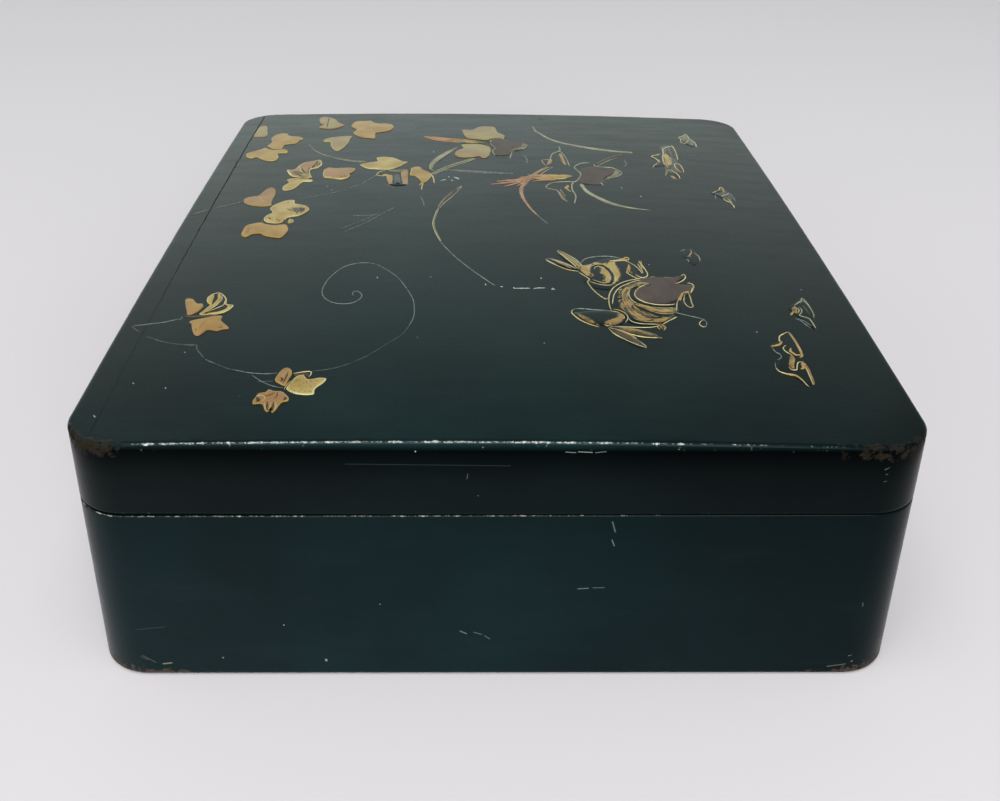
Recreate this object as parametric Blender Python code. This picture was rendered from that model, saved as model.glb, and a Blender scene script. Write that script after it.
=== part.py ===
"""A writing-paper box of lacquered wood: a hollow tray and a crowned lid that lifts off a raised lip.

The lid carries a picture in low relief: ivy leaves, two iris-like flowers, grass blades, two hares
and tufts of ground, with three pieces of metal sheet let in. The picture is drawn on a sheet of
SHEET_WIDTH by SHEET_DEPTH units, which is stretched over the lid. The origin is the centre of the
underside, +X is the right-hand side and +Y the back.
"""

import math
import random

import bmesh
import bpy

# Outer sizes, in metres
WIDTH = 0.270
DEPTH = 0.357
HEIGHT = 0.090
CORNER_RADIUS = 0.0176
CROWN_ACROSS = 0.0021
CROWN_ALONG = 0.0022
TOP_ARRIS = 0.0019
FOOT_ARRIS = 0.0015
RIM_ARRIS = 0.0004

# The joint between tray and lid: the box is hand made, so it climbs a little to the right,
# and the lid is a little lower there
JOINT_HEIGHT = 0.0653
JOINT_GAP = 0.0004
JOINT_RISE = 0.0012
LID_FALL = 0.0006

# Wood thickness and the lip
WALL = 0.009
FLOOR = 0.008
LID_TOP = 0.0075
LIP_HEIGHT = 0.0060
LIP_THICKNESS = 0.0034
LIP_CLEARANCE = 0.0004
INNER_RADIUS = 0.0070

# How finely the outlines are cut up
CORNER_STEPS = 8
ACROSS_STEPS = 6
ALONG_STEPS = 8
ARRIS_STEPS = 3

# The picture: its drawing sheet, and heights above the crown
SHEET_WIDTH = 270.0
SHEET_DEPTH = 357.0
LEAF_RELIEF = 0.0005
LEAF_STEP = 0.0001
PETAL_RELIEF = 0.0007
HARE_RELIEF = 0.0010
GROUND_RELIEF = 0.0006
BLADE_RELIEF = 0.0004
RELIEF_ROOT = 0.0012
OUTLINE_STEPS = 3
SHOULDER_SHARE = 0.82

# Metal sheet let into pockets of the lid
INLAY_THICKNESS = 0.0009
INLAY_GAP = 0.0003
INLAY_PROUD = 0.0002
FLANK_LEVEL = 0.0006

# The crack along the seam of the left side board, and the chips at the lid's front left corner
CRACK_INSET = 0.0095
CRACK_WIDTH = 0.0006
CRACK_DEPTH = 0.0008
CRACK_WANDER = 0.0003
CRACK_STEPS = 12
CHIPS = ((212.0, 0.0026), (228.0, 0.0020), (247.0, 0.0030))
CHIP_BITE = 0.0011
SEED = 7

# Leaves: centre on the sheet, then spokes to the outline as (direction in degrees, reach)
LEAVES = (
    ((-121, 144), ((10, 3.5), (60, 7), (90, 11), (120, 9.5), (180, 4.5), (250, 11.5), (284, 10))),
    ((-87, 160), ((10, 5), (60, 6), (108, 12.5), (130, 10.5), (180, 6), (222, 7.5), (266, 13), (310, 10))),
    ((-65, 147), ((15, 12.5), (45, 12.5), (78, 11), (95, 17), (125, 15.5), (188, 7), (240, 14.5),
                  (281, 19.5), (303, 8.5), (340, 10))),
    ((-79, 121), ((10, 5.6), (63, 13.4), (95, 11), (131, 10.6), (180, 4), (249, 8.5), (274, 15), (297, 9))),
    ((-107.5, 126), ((13, 8.7), (52, 9), (82, 8), (100, 12.8), (120, 12), (146, 9), (205, 7), (245, 15),
                     (270, 15), (295, 7.4), (328, 7.6))),
    ((-112, 102), ((19, 9), (49, 9.2), (88, 7.5), (110, 11.7), (150, 9), (178, 11), (215, 11.5), (235, 8),
                   (264, 10), (290, 11.7), (315, 9), (349, 5))),
    ((-91, 77), ((18, 3.2), (50, 11), (67, 14), (95, 11), (120, 7), (180, 5), (225, 10), (251, 12.2),
                 (285, 14.5), (300, 7), (340, 4))),
    ((-93, 56), ((14, 5), (40, 7.5), (67, 7.6), (124, 7.2), (219, 3.2), (250, 10.5), (297, 4.5))),
    ((-74, 69), ((5, 5.5), (34, 9), (60, 10), (90, 7.5), (131, 10.6), (173, 8), (218, 8.2), (254, 7.3),
                 (288, 9.5), (320, 8))),
    ((-105, 35), ((0, 5.5), (50, 9.5), (82, 14), (100, 8.5), (135, 3), (171, 6.6), (203, 7.6), (238, 9.4),
                  (270, 11), (301, 11.7), (330, 7))),
    ((-92, 17), ((11, 10), (49, 10.6), (68, 9.5), (85, 14), (98, 13.6), (127, 10), (165, 7.8), (200, 6),
                 (230, 13), (265, 15), (291, 8.5), (333, 9))),
    ((-97, -6), ((0, 9), (45, 11.3), (72, 6.3), (100, 8.2), (135, 10), (163, 10.4), (191, 10.2),
                 (218, 11.4), (240, 6), (275, 7), (294, 9.8), (315, 11.3))),
    ((-54, 86), ((9, 12.2), (30, 8.5), (70, 9), (108, 9.5), (140, 5), (166, 4.5), (200, 12), (239, 11.7),
                 (280, 11.2), (312, 12), (343, 10.4))),
    ((-34, 67), ((14, 4.5), (70, 7), (105, 13), (145, 6.5), (180, 5), (250, 7), (275, 12), (326, 7))),
    ((-112, -83), ((20, 3.5), (60, 3.3), (115, 8.3), (180, 2.8), (261, 6.4), (300, 4.5), (340, 3.7))),
    ((-104.5, -81), ((0, 4.5), (41, 5.3), (69, 8.5), (94, 11), (111, 9.7), (132, 6.7), (180, 4.5),
                     (242, 9.6), (267, 8.5), (297, 7.8), (326, 7.2))),
    ((-104, -96.5), ((37, 5), (62, 7.4), (110, 6), (164, 7.3), (195, 5.7), (250, 9.7), (275, 5),
                     (311, 7.7), (330, 9), (355, 6))),
    ((-70.5, -136), ((30, 5.5), (85, 5), (110, 5.3), (150, 3.2), (225, 4.2), (270, 7), (330, 3))),
    ((-64, -143), ((18, 6), (37, 8.4), (70, 5.2), (101, 7.6), (135, 7), (191, 6.6), (232, 5.7), (270, 6.3),
                   (304, 7.2), (345, 3.7))),
    ((-72.5, -152), ((0, 3.5), (29, 5), (63, 5.6), (110, 7.4), (138, 6.7), (172, 7), (198, 7), (229, 5.3),
                     (268, 8), (310, 4), (348, 4.8))),
)

# Gold petals and the seed heads of the two flowers, drawn as leaves are
PETALS = (
    ((-3, 139), ((9, 6), (45, 7.5), (70, 13), (105, 11.5), (131, 9.3), (157, 13), (190, 12.5), (238, 13),
                 (280, 11), (314, 15), (345, 10.5))),
    ((-10, 108), ((11, 10), (41, 10.6), (80, 11.2), (124, 10.8), (158, 5.6), (209, 10.3), (231, 12.8),
                  (260, 11.2), (295, 14.5), (318, 12))),
    ((33, 93), ((51, 6.4), (85, 22), (101, 10), (190, 5), (207, 9), (240, 11), (268, 12), (297, 11), (329, 6))),
    ((31, 51), ((49, 10.6), (82, 7), (127, 5), (189, 6), (217, 5), (259, 6), (270, 11), (350, 6))),
)

# Metal sheet: node name, centre on the sheet, spokes, and the level of the relief that it lies in
INLAYS = (
    ("back_petal_inlay", (5, 112), ((20, 15), (48, 13.5), (77, 13.5), (93, 17), (119, 12.5), (149, 6),
                                    (198, 3.5), (235, 9), (258, 14.3), (285, 13.5), (310, 8), (355, 12)),
     0.0),
    ("front_petal_inlay", (50, 69), ((24, 12), (54, 13.6), (90, 13), (124, 10.8), (159, 8.5), (207, 9),
                                     (238, 15.3), (270, 15), (285, 12), (300, 6.5), (351, 6)),
     0.0),
    ("hare_flank_inlay", (64, -67), ((20, 13), (42, 8), (54, 16.5), (68, 12.5), (105, 12), (132, 11.5),
                                     (174, 9.5), (205, 12.5), (230, 14.5), (262, 13.5), (300, 9.5),
                                     (345, 10)),
     FLANK_LEVEL),
)

# Ovals: centre, half length, half width, turn in degrees, taper towards the far end
SEED_HEADS = (
    ((-19, 125), 16, 3.4, -19, -0.5),
    ((17, 61), 20, 5.6, 12, -0.1),
)
FRONT_HARE = (
    ((56, -78), 21.0, 14.0, 80, 0.05),
    ((37, -92), 10.5, 6.4, 168, -0.45),
    ((50, -104), 10.0, 2.5, -28, 0.0),
    ((46, -108.5), 9.5, 2.5, -57, 0.0),
    ((69, -89.5), 8.5, 1.8, -22, 0.0),
    ((75, -95), 3.8, 1.9, -95, 0.0),
    ((72.5, -76), 6.8, 2.2, -88, 0.0),
)
BACK_HARE = (
    ((45, -52), 17.0, 10.5, 72, -0.1),
    ((40.5, -53), 10.0, 5.6, 95, -0.1),
    ((29.5, -38), 9.8, 2.1, 117, 0.0),
    ((26, -43), 8.2, 2.0, 138, 0.0),
    ((57.5, -47), 9.5, 2.6, 92, 0.0),
    ((54, -49), 7.5, 2.0, 100, 0.0),
)

# Tufts of ground: centre and spokes, as on the leaves
GROUND = (
    ((89, 95), ((31, 5.8), (67, 14), (80, 26.5), (92, 18), (105, 9), (128, 11.4), (150, 9.4), (180, 5.5),
                (216, 8.6), (231, 14), (256, 10), (272, 27), (288, 15.5), (309, 6.4))),
    ((103.5, 132), ((35, 4), (63, 5.6), (82, 11), (110, 7.4), (180, 3.5), (249, 4.3), (280, 11), (315, 5.7))),
    ((107.5, 43), ((49, 5.3), (86, 13), (110, 7.4), (144, 6.8), (180, 3.5), (263, 4.5), (280, 15.2),
                   (309, 6.4))),
    ((80, -33), ((0, 3), (80, 9), (120, 5), (180, 3), (240, 4), (270, 9), (300, 5))),
    ((114.5, -82), ((53, 5), (80, 11.2), (116, 5.6), (158, 5.4), (220, 5), (255, 8), (274, 15.5), (305, 6),
                    (350, 3.8))),
    ((101.5, -120), ((14, 4.2), (66, 11), (82, 19.6), (95, 12), (124, 9.7), (164, 4), (204, 5), (232, 11.4),
                     (255, 13), (275, 20), (294, 11), (315, 5))),
)

# Broad grass blades: points on the sheet that the blade bends through, then its width on the sheet
BLADES = (
    (((-29, 74), (-31, 80), (-27, 94), (-18, 112)), 3.0),
    (((-30, 66), (-25, 75), (-17, 85), (-8, 94)), 3.0),
    (((23, 154), (28, 136), (42, 118), (60, 110), (74, 106)), 3.2),
    (((41, 52), (46, 40), (55, 29), (70, 21)), 2.6),
    (((49, 83), (55, 92), (68, 106)), 3.0),
    (((-14.5, 50), (-20, 35), (-24, 18), (-26, 2)), 3.0),
)


def flat(x, y):
    """The level of a part with no shape of its own."""
    return 0.0


def joint_tilt(x, y):
    """How far the joint lies above its middle."""
    return JOINT_RISE * x / WIDTH


def crown(x, y):
    """How far the lid's top lies above HEIGHT: a shallow crown, a little lower on the right."""
    across = CROWN_ACROSS * (1 - (2 * x / WIDTH) ** 2)
    along = CROWN_ALONG * (1 - (2 * y / DEPTH) ** 2)
    return across + along - LID_FALL * x / WIDTH


def principled(name, colour, roughness, metallic):
    """A plain material in a colour, given as linear red, green and blue."""
    made = bpy.data.materials.new(name)
    made.use_nodes = True
    shader = made.node_tree.nodes["Principled BSDF"]
    shader.inputs["Base Color"].default_value = (*colour, 1.0)
    shader.inputs["Roughness"].default_value = roughness
    shader.inputs["Metallic"].default_value = metallic
    made.diffuse_color = (*colour, 1.0)
    return made


def straight_places(reach, steps):
    """Where the steps of one straight side fall, its ends left out."""
    return [reach * (2 * step / steps - 1) for step in range(1, steps)]


def arc_centre(inset):
    """The corner arc's centre in the front right quarter, and the arc's radius."""
    radius = max(CORNER_RADIUS - inset, INNER_RADIUS)
    return WIDTH / 2 - inset - radius, DEPTH / 2 - inset - radius, radius


def plan_outline(inset):
    """The box's rounded plan drawn in by inset, anticlockwise from the front of the right side."""
    reach_x, reach_y, radius = arc_centre(inset)
    across = straight_places(reach_x, ACROSS_STEPS)
    along = straight_places(reach_y, ALONG_STEPS)
    right = [(reach_x + radius, y) for y in along]
    back = [(x, reach_y + radius) for x in reversed(across)]
    left = [(-reach_x - radius, y) for y in reversed(along)]
    front = [(x, -reach_y - radius) for x in across]
    points = []
    signs = ((1, 1), (-1, 1), (-1, -1), (1, -1))
    for quarter, (side, (sign_x, sign_y)) in enumerate(zip((right, back, left, front), signs)):
        points += side
        for step in range(CORNER_STEPS + 1):
            angle = math.radians(90 * (quarter + step / CORNER_STEPS))
            points.append((sign_x * reach_x + radius * math.cos(angle),
                           sign_y * reach_y + radius * math.sin(angle)))
    return points


def arris(inset, base, radius, surface, start):
    """Outlines round a quarter circle, from start degrees; the last lies radius further on."""
    rows = []
    for step in range(ARRIS_STEPS + 1):
        angle = math.radians(start + 90 * step / ARRIS_STEPS)
        rows.append((inset + radius * (1 - math.cos(angle)), base + radius * math.sin(angle), surface))
    return rows


def close_end(form, ring, inset, base, surface):
    """Fills an end ring, cuts the face along the plan's steps and lays it on its surface."""
    face = form.faces.new(ring)
    if surface is flat:
        return
    reach_x, reach_y, _ = arc_centre(inset)
    cuts = [((x, 0, 0), (1, 0, 0)) for x in straight_places(reach_x, ACROSS_STEPS)]
    cuts += [((0, y, 0), (0, 1, 0)) for y in straight_places(reach_y, ALONG_STEPS)]
    pieces = [face, *face.edges, *face.verts]
    for place, normal in cuts:
        cut = bmesh.ops.bisect_plane(form, geom=pieces, dist=1e-5, plane_co=place, plane_no=normal)
        pieces = cut["geom"]
    for corner in pieces:
        if isinstance(corner, bmesh.types.BMVert):
            corner.co.z = base + surface(corner.co.x, corner.co.y)


def stacked_solid(name, sections, materials):
    """A solid skinned over sections of the plan, each (inset, base, surface), closed at both ends."""
    form = bmesh.new()
    rings = []
    for inset, base, surface in sections:
        rings.append([form.verts.new((x, y, base + surface(x, y))) for x, y in plan_outline(inset)])
    for lower, upper in zip(rings, rings[1:]):
        for index, corner in enumerate(lower):
            previous = index - 1
            form.faces.new((lower[previous], corner, upper[index], upper[previous]))
    close_end(form, list(reversed(rings[0])), *sections[0])
    close_end(form, rings[-1], *sections[-1])
    return finished(name, form, materials)


def finished(name, form, materials, slot=0):
    """The object of a bmesh, with its faces split into triangles and their material slot set."""
    bmesh.ops.recalc_face_normals(form, faces=form.faces)
    bmesh.ops.triangulate(form, faces=form.faces)
    for face in form.faces:
        face.material_index = slot
    mesh = bpy.data.meshes.new(name)
    form.to_mesh(mesh)
    form.free()
    for material in materials:
        mesh.materials.append(material)
    made = bpy.data.objects.new(name, mesh)
    bpy.context.scene.collection.objects.link(made)
    return made


def combined(target, tools, operation):
    """Joins or cuts tools into target, and removes the tools."""
    group = bpy.data.collections.new("tools")
    for tool in tools:
        group.objects.link(tool)
    modifier = target.modifiers.new("combine", "BOOLEAN")
    modifier.operation = operation
    modifier.solver = "EXACT"
    modifier.operand_type = "COLLECTION"
    modifier.collection = group
    evaluated = target.evaluated_get(bpy.context.evaluated_depsgraph_get())
    mesh = bpy.data.meshes.new_from_object(evaluated)
    target.modifiers.remove(modifier)
    target.data = mesh
    for tool in tools:
        bpy.data.objects.remove(tool)
    bpy.data.collections.remove(group)


def on_lid(point):
    """A point of the drawing sheet as a place on the lid."""
    return point[0] * WIDTH / SHEET_WIDTH, point[1] * DEPTH / SHEET_DEPTH


def curve_point(before, start, end, after, share):
    """The point at share of the way from start to end on the smooth curve through four points."""
    place = []
    for p, q, r, s in zip(before, start, end, after):
        bend = 2 * p - 5 * q + 4 * r - s
        twist = 3 * (q - r) + s - p
        place.append(q + 0.5 * share * (r - p + share * (bend + share * twist)))
    return tuple(place)


def spoked(centre, spokes):
    """A leaf's outline on the sheet: a closed smooth curve through the ends of its spokes."""
    ends = []
    for direction, reach in spokes:
        angle = math.radians(direction)
        ends.append((centre[0] + reach * math.cos(angle), centre[1] + reach * math.sin(angle)))
    points = []
    for index in range(len(ends)):
        around = [ends[(index + offset) % len(ends)] for offset in (-1, 0, 1, 2)]
        points += [curve_point(*around, step / OUTLINE_STEPS) for step in range(OUTLINE_STEPS)]
    return points


def oval(centre, half_length, half_width, turn, taper, sides=14):
    """An egg-shaped outline on the sheet; a negative taper narrows the end that turn points to."""
    cos_turn = math.cos(math.radians(turn))
    sin_turn = math.sin(math.radians(turn))
    points = []
    for side in range(sides):
        angle = math.tau * side / sides
        ahead = half_length * math.cos(angle)
        aside = half_width * math.sin(angle) * (1 + taper * math.cos(angle))
        points.append((centre[0] + ahead * cos_turn - aside * sin_turn,
                       centre[1] + ahead * sin_turn + aside * cos_turn))
    return points


def blade(through, width, steps=3):
    """A grass blade's outline on the sheet, widest in the middle and drawn to a point at both ends."""
    ends = [through[0], *through, through[-1]]
    spine = []
    for index in range(len(through) - 1):
        around = ends[index:index + 4]
        spine += [curve_point(*around, step / steps) for step in range(steps)]
    spine.append(through[-1])
    left = []
    right = []
    for index in range(1, len(spine) - 1):
        run_x = spine[index + 1][0] - spine[index - 1][0]
        run_y = spine[index + 1][1] - spine[index - 1][1]
        half = 0.5 * width * math.sin(math.pi * index / (len(spine) - 1)) / math.hypot(run_x, run_y)
        x, y = spine[index]
        left.append((x - half * run_y, y + half * run_x))
        right.append((x + half * run_y, y - half * run_x))
    return [spine[0], *right, spine[-1], *reversed(left)]


def moved_in(points, distance):
    """An anticlockwise outline with each corner moved in along its own slant."""
    inner = []
    for index, (x, y) in enumerate(points):
        before_x, before_y = points[index - 1]
        after_x, after_y = points[(index + 1) % len(points)]
        run = math.hypot(after_x - before_x, after_y - before_y)
        inner.append((x - distance * (after_y - before_y) / run, y + distance * (after_x - before_x) / run))
    return inner


def layered(outlines, name, materials, slot):
    """A solid through outlines on the lid, each (points, height above the crown), lowest first."""
    form = bmesh.new()
    rings = []
    for points, height in outlines:
        rings.append([form.verts.new((x, y, HEIGHT + crown(x, y) + height)) for x, y in points])
    for lower, upper in zip(rings, rings[1:]):
        for index, corner in enumerate(lower):
            form.faces.new((lower[index - 1], corner, upper[index], upper[index - 1]))
    form.faces.new(list(reversed(rings[0])))
    form.faces.new(rings[-1])
    return finished(name, form, materials, slot)


def relief(sheet_outline, height, materials, rounded=False):
    """A raised form of the picture, rooted in the lid; a rounded one has a lower shoulder."""
    points = [on_lid(point) for point in sheet_outline]
    outlines = [(points, -RELIEF_ROOT), (points, height)]
    if rounded:
        middle_x = sum(x for x, _ in points) / len(points)
        middle_y = sum(y for _, y in points) / len(points)
        top = [(middle_x + SHOULDER_SHARE * (x - middle_x), middle_y + SHOULDER_SHARE * (y - middle_y))
               for x, y in points]
        outlines = [(points, -RELIEF_ROOT), (points, 0.55 * height), (top, height)]
    return layered(outlines, "relief", materials, 1)


def picture_reliefs(materials):
    """Every raised form of the picture, neighbours at slightly different heights."""
    forms = []
    for index, (centre, spokes) in enumerate(LEAVES):
        forms.append(relief(spoked(centre, spokes), LEAF_RELIEF + LEAF_STEP * (index % 3), materials))
    for index, (centre, spokes) in enumerate(PETALS):
        forms.append(relief(spoked(centre, spokes), PETAL_RELIEF + LEAF_STEP * (index % 2), materials))
    for centre, spokes in GROUND:
        forms.append(relief(spoked(centre, spokes), GROUND_RELIEF, materials))
    for through, width in BLADES:
        forms.append(relief(blade(through, width), BLADE_RELIEF, materials))
    for form in SEED_HEADS:
        forms.append(relief(oval(*form), PETAL_RELIEF, materials, True))
    for index, form in enumerate(BACK_HARE):
        forms.append(relief(oval(*form), HARE_RELIEF - LEAF_STEP * (2 + index % 3), materials, True))
    for index, form in enumerate(FRONT_HARE):
        forms.append(relief(oval(*form), HARE_RELIEF - 0.5 * LEAF_STEP * index, materials, True))
    return forms


def inlay_heights(lies_in):
    """The inlay's top, its underside and its pocket's floor, above the crown."""
    top = lies_in + INLAY_PROUD
    underside = top - INLAY_THICKNESS
    return top, underside, underside - INLAY_GAP


def pocket(centre, spokes, lies_in, materials):
    """The cutter of the pocket that takes one inlay, open well above it."""
    points = [on_lid(point) for point in spoked(centre, spokes)]
    top, _, floor = inlay_heights(lies_in)
    return layered([(points, floor), (points, top + HARE_RELIEF)], "pocket", materials, 1)


def inlay(name, centre, spokes, lies_in, materials):
    """One piece of metal sheet, cut to its pocket with a gap all round."""
    points = moved_in([on_lid(point) for point in spoked(centre, spokes)], INLAY_GAP)
    top, underside, _ = inlay_heights(lies_in)
    return layered([(points, underside), (points, top)], name, materials, 0)


def crack_cutter(materials):
    """A thin wandering wall that leaves the crack along the seam of the left side board."""
    form = bmesh.new()
    rings = []
    for step in range(CRACK_STEPS + 1):
        y = (DEPTH / 2 + TOP_ARRIS) * (2 * step / CRACK_STEPS - 1)
        x = -WIDTH / 2 + CRACK_INSET + CRACK_WANDER * math.sin(2.3 * step) * math.cos(0.7 * step)
        level = HEIGHT + crown(x, y)
        rings.append([form.verts.new(place) for place in (
            (x, y, level - CRACK_DEPTH),
            (x + CRACK_WIDTH / 2, y, level + CRACK_DEPTH),
            (x - CRACK_WIDTH / 2, y, level + CRACK_DEPTH))])
    for near, far in zip(rings, rings[1:]):
        for index in range(3):
            form.faces.new((near[index - 1], near[index], far[index], far[index - 1]))
    form.faces.new(rings[0])
    form.faces.new(list(reversed(rings[-1])))
    return finished("crack", form, materials)


def chip_cutters(materials):
    """Small rough lumps that bite the chips out of the lid's front left corner."""
    rough = random.Random(SEED)
    reach_x, reach_y, radius = arc_centre(0.0)
    cutters = []
    for direction, size in CHIPS:
        form = bmesh.new()
        bmesh.ops.create_icosphere(form, subdivisions=1, radius=size)
        for corner in form.verts:
            corner.co *= rough.uniform(0.85, 1.1)
        angle = math.radians(direction)
        out = radius + size - CHIP_BITE
        x = -reach_x + out * math.cos(angle)
        y = -reach_y + out * math.sin(angle)
        bmesh.ops.translate(form, verts=form.verts, vec=(x, y, HEIGHT))
        cutters.append(finished("chip", form, materials))
    return cutters


def box_body(materials):
    """The hollow tray: foot, outer wall, rim, raised lip and the inside down to the floor."""
    rim = JOINT_HEIGHT - JOINT_GAP / 2
    lip_inset = WALL - LIP_THICKNESS
    lip_top = rim + LIP_HEIGHT
    sections = arris(0.0, FOOT_ARRIS, FOOT_ARRIS, flat, -90)
    sections.append((0.0, rim - RIM_ARRIS, joint_tilt))
    sections.append((RIM_ARRIS, rim, joint_tilt))
    sections.append((lip_inset, rim, joint_tilt))
    sections.append((lip_inset, lip_top - RIM_ARRIS, joint_tilt))
    sections.append((lip_inset + RIM_ARRIS, lip_top, joint_tilt))
    sections.append((WALL - RIM_ARRIS, lip_top, joint_tilt))
    sections.append((WALL, lip_top - RIM_ARRIS, joint_tilt))
    sections.append((WALL, FLOOR + RIM_ARRIS, flat))
    sections.append((WALL + RIM_ARRIS, FLOOR, flat))
    return stacked_solid("box_body", sections, materials)


def lid(materials):
    """The crowned lid, skinned from its hollow underside down the inside and up over the outside."""
    rim = JOINT_HEIGHT + JOINT_GAP / 2
    rebate_inset = WALL - LIP_THICKNESS - LIP_CLEARANCE
    rebate_top = rim + LIP_HEIGHT + LIP_CLEARANCE
    sections = [
        (WALL + RIM_ARRIS, HEIGHT - LID_TOP, crown),
        (WALL, HEIGHT - LID_TOP - RIM_ARRIS, crown),
        (WALL, rebate_top, joint_tilt),
        (rebate_inset, rebate_top, joint_tilt),
        (rebate_inset, rim, joint_tilt),
        (RIM_ARRIS, rim, joint_tilt),
        (0.0, rim + RIM_ARRIS, joint_tilt),
    ]
    sections += arris(0.0, HEIGHT - TOP_ARRIS, TOP_ARRIS, crown, 0)
    made = stacked_solid("lid", sections, materials)
    combined(made, picture_reliefs(materials), "UNION")
    cutters = [pocket(centre, spokes, lies_in, materials) for _, centre, spokes, lies_in in INLAYS]
    combined(made, cutters + [crack_cutter(materials)] + chip_cutters(materials), "DIFFERENCE")
    return made


def main():
    for old in list(bpy.data.objects):
        bpy.data.objects.remove(old)
    lacquer = principled("green_black_lacquer", (0.012, 0.022, 0.021), 0.25, 0.0)
    gold = principled("sprinkled_gold", (0.47, 0.31, 0.11), 0.40, 0.8)
    lead = principled("lead_sheet", (0.11, 0.085, 0.07), 0.50, 0.9)
    box_body([lacquer])
    lid([lacquer, gold])
    for name, centre, spokes, lies_in in INLAYS:
        inlay(name, centre, spokes, lies_in, [lead])


main()
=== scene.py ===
import math
import random

import bmesh
import bpy
from mathutils import Matrix, Vector, noise
from mathutils.bvhtree import BVHTree


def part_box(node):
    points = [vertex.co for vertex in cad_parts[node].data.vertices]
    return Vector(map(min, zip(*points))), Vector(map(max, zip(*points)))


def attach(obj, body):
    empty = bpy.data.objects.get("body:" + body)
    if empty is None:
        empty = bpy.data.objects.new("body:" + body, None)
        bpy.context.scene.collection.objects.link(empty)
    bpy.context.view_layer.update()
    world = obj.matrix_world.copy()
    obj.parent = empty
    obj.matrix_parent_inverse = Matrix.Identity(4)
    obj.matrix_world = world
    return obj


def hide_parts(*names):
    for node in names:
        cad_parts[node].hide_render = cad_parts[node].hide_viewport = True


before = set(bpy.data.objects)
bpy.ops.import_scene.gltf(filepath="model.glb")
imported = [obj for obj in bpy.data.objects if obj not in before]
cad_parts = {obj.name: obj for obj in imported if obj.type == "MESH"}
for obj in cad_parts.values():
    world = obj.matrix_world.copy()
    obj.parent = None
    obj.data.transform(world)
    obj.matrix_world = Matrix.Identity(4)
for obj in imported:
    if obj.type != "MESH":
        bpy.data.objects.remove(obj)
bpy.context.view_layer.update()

# Sizes are in metres; the picture is drawn in millimetres on the lid, x to the right and y to the back
mm = 0.001
trayLow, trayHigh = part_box("box_body")
lidLow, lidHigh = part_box("lid")
width = lidHigh.x - lidLow.x
depth = lidHigh.y - lidLow.y

boxShape = {
    "cornerRadius": 17.6 * mm,   # the rounded upright corners
    "edgeHeight": 90 * mm,       # top of the lid at its corners
    "crownAcross": 2.1 * mm,     # the lid swells this much from side to side
    "crownAlong": 2.2 * mm,      # and this much from front to back
    "fallToRight": 0.6 * mm,     # the old lid has sunk a little on the right
    "joint": 65.3 * mm,          # where tray and lid meet
    "jointGap": 0.4 * mm,
    "jointRise": 1.2 * mm,       # the joint climbs to the right
    "wall": 9 * mm,
    "lipThickness": 3.4 * mm,
    "lipHeight": 6 * mm,
    "lipClearance": 0.4 * mm,
}
cornerSteps = 18


def crown(x, y):
    across = boxShape["crownAcross"] * (1 - (2 * x / width) ** 2)
    along = boxShape["crownAlong"] * (1 - (2 * y / depth) ** 2)
    return across + along - boxShape["fallToRight"] * x / width


def jointTilt(x):
    return boxShape["jointRise"] * x / width


def smoothStep(low, high, value):
    share = min(1.0, max(0.0, (value - low) / (high - low)))
    return share * share * (3 - 2 * share)


# Materials

def linearColour(hexColour):
    parts = [int(hexColour[i:i + 2], 16) / 255 for i in (1, 3, 5)]
    return tuple(p / 12.92 if p <= 0.04045 else ((p + 0.055) / 1.055) ** 2.4 for p in parts) + (1.0,)


def addNode(tree, kind, settings=None, inputs=None):
    node = tree.nodes.new(kind)
    for name, value in (settings or {}).items():
        if name == "stops":
            ramp = node.color_ramp.elements
            while len(ramp) < len(value):
                ramp.new(0.5)
            for element, (position, colour) in zip(ramp, value):
                element.position = position
                element.color = linearColour(colour) if isinstance(colour, str) else (colour,) * 3 + (1.0,)
        else:
            setattr(node, name, value)
    for name, value in (inputs or {}).items():
        if isinstance(value, bpy.types.NodeSocket):
            tree.links.new(value, node.inputs[name])
        else:
            node.inputs[name].default_value = linearColour(value) if isinstance(value, str) else value
    return node


def newMaterial(name):
    material = bpy.data.materials.new(name)
    material.use_nodes = True
    tree = material.node_tree
    shader = tree.nodes["Principled BSDF"]
    place = tree.nodes.new("ShaderNodeTexCoord").outputs["Object"]
    return material, tree, shader, place


def perMetre(sizeInMm):
    return 1 / (sizeInMm * mm)   # a texture scale from the size that its features should have


lacquerLook = {
    "deep": "#02171a",        # green-black of the thick coats
    "thin": "#082122",        # where the coat is thin and the ground shows through
    "haze": "#27302f",        # dusty rub marks
    "bare": "#3a2c22",        # dark wood and undercoat in the chips
    "wornAndHighlighted": "#8f8b80",        # rubbed, pale arrises, and the painted highlight along them
    "scuffed": "#3f423e",     # and between the pale flecks
    "roughness": 0.23,
    "specular": 0.10,
    "cloudSize": 55,
    "brushSize": 1.6,
    "left": 1.35,             # painted sheen: its strength at the left end
    "right": 0.72,            # and at the right end
    "ends": ((0.0, 0.55), (0.35, 1.0), (1.0, 0.70)),      # painted shade: how much of the colour is kept from left to right
    "heights": ((0.0, 1.0), (0.5, 0.95), (1.0, 0.70)),    # painted sheen, weaker up the tray's sides
    "paintedShadeUp": ((0.0, 0.68), (1.0, 0.50)),                 # painted shade, darker up the tray's sides
    "marks": (),
    "foot": 0.0,
    "brow": 80 * mm,
}


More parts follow.
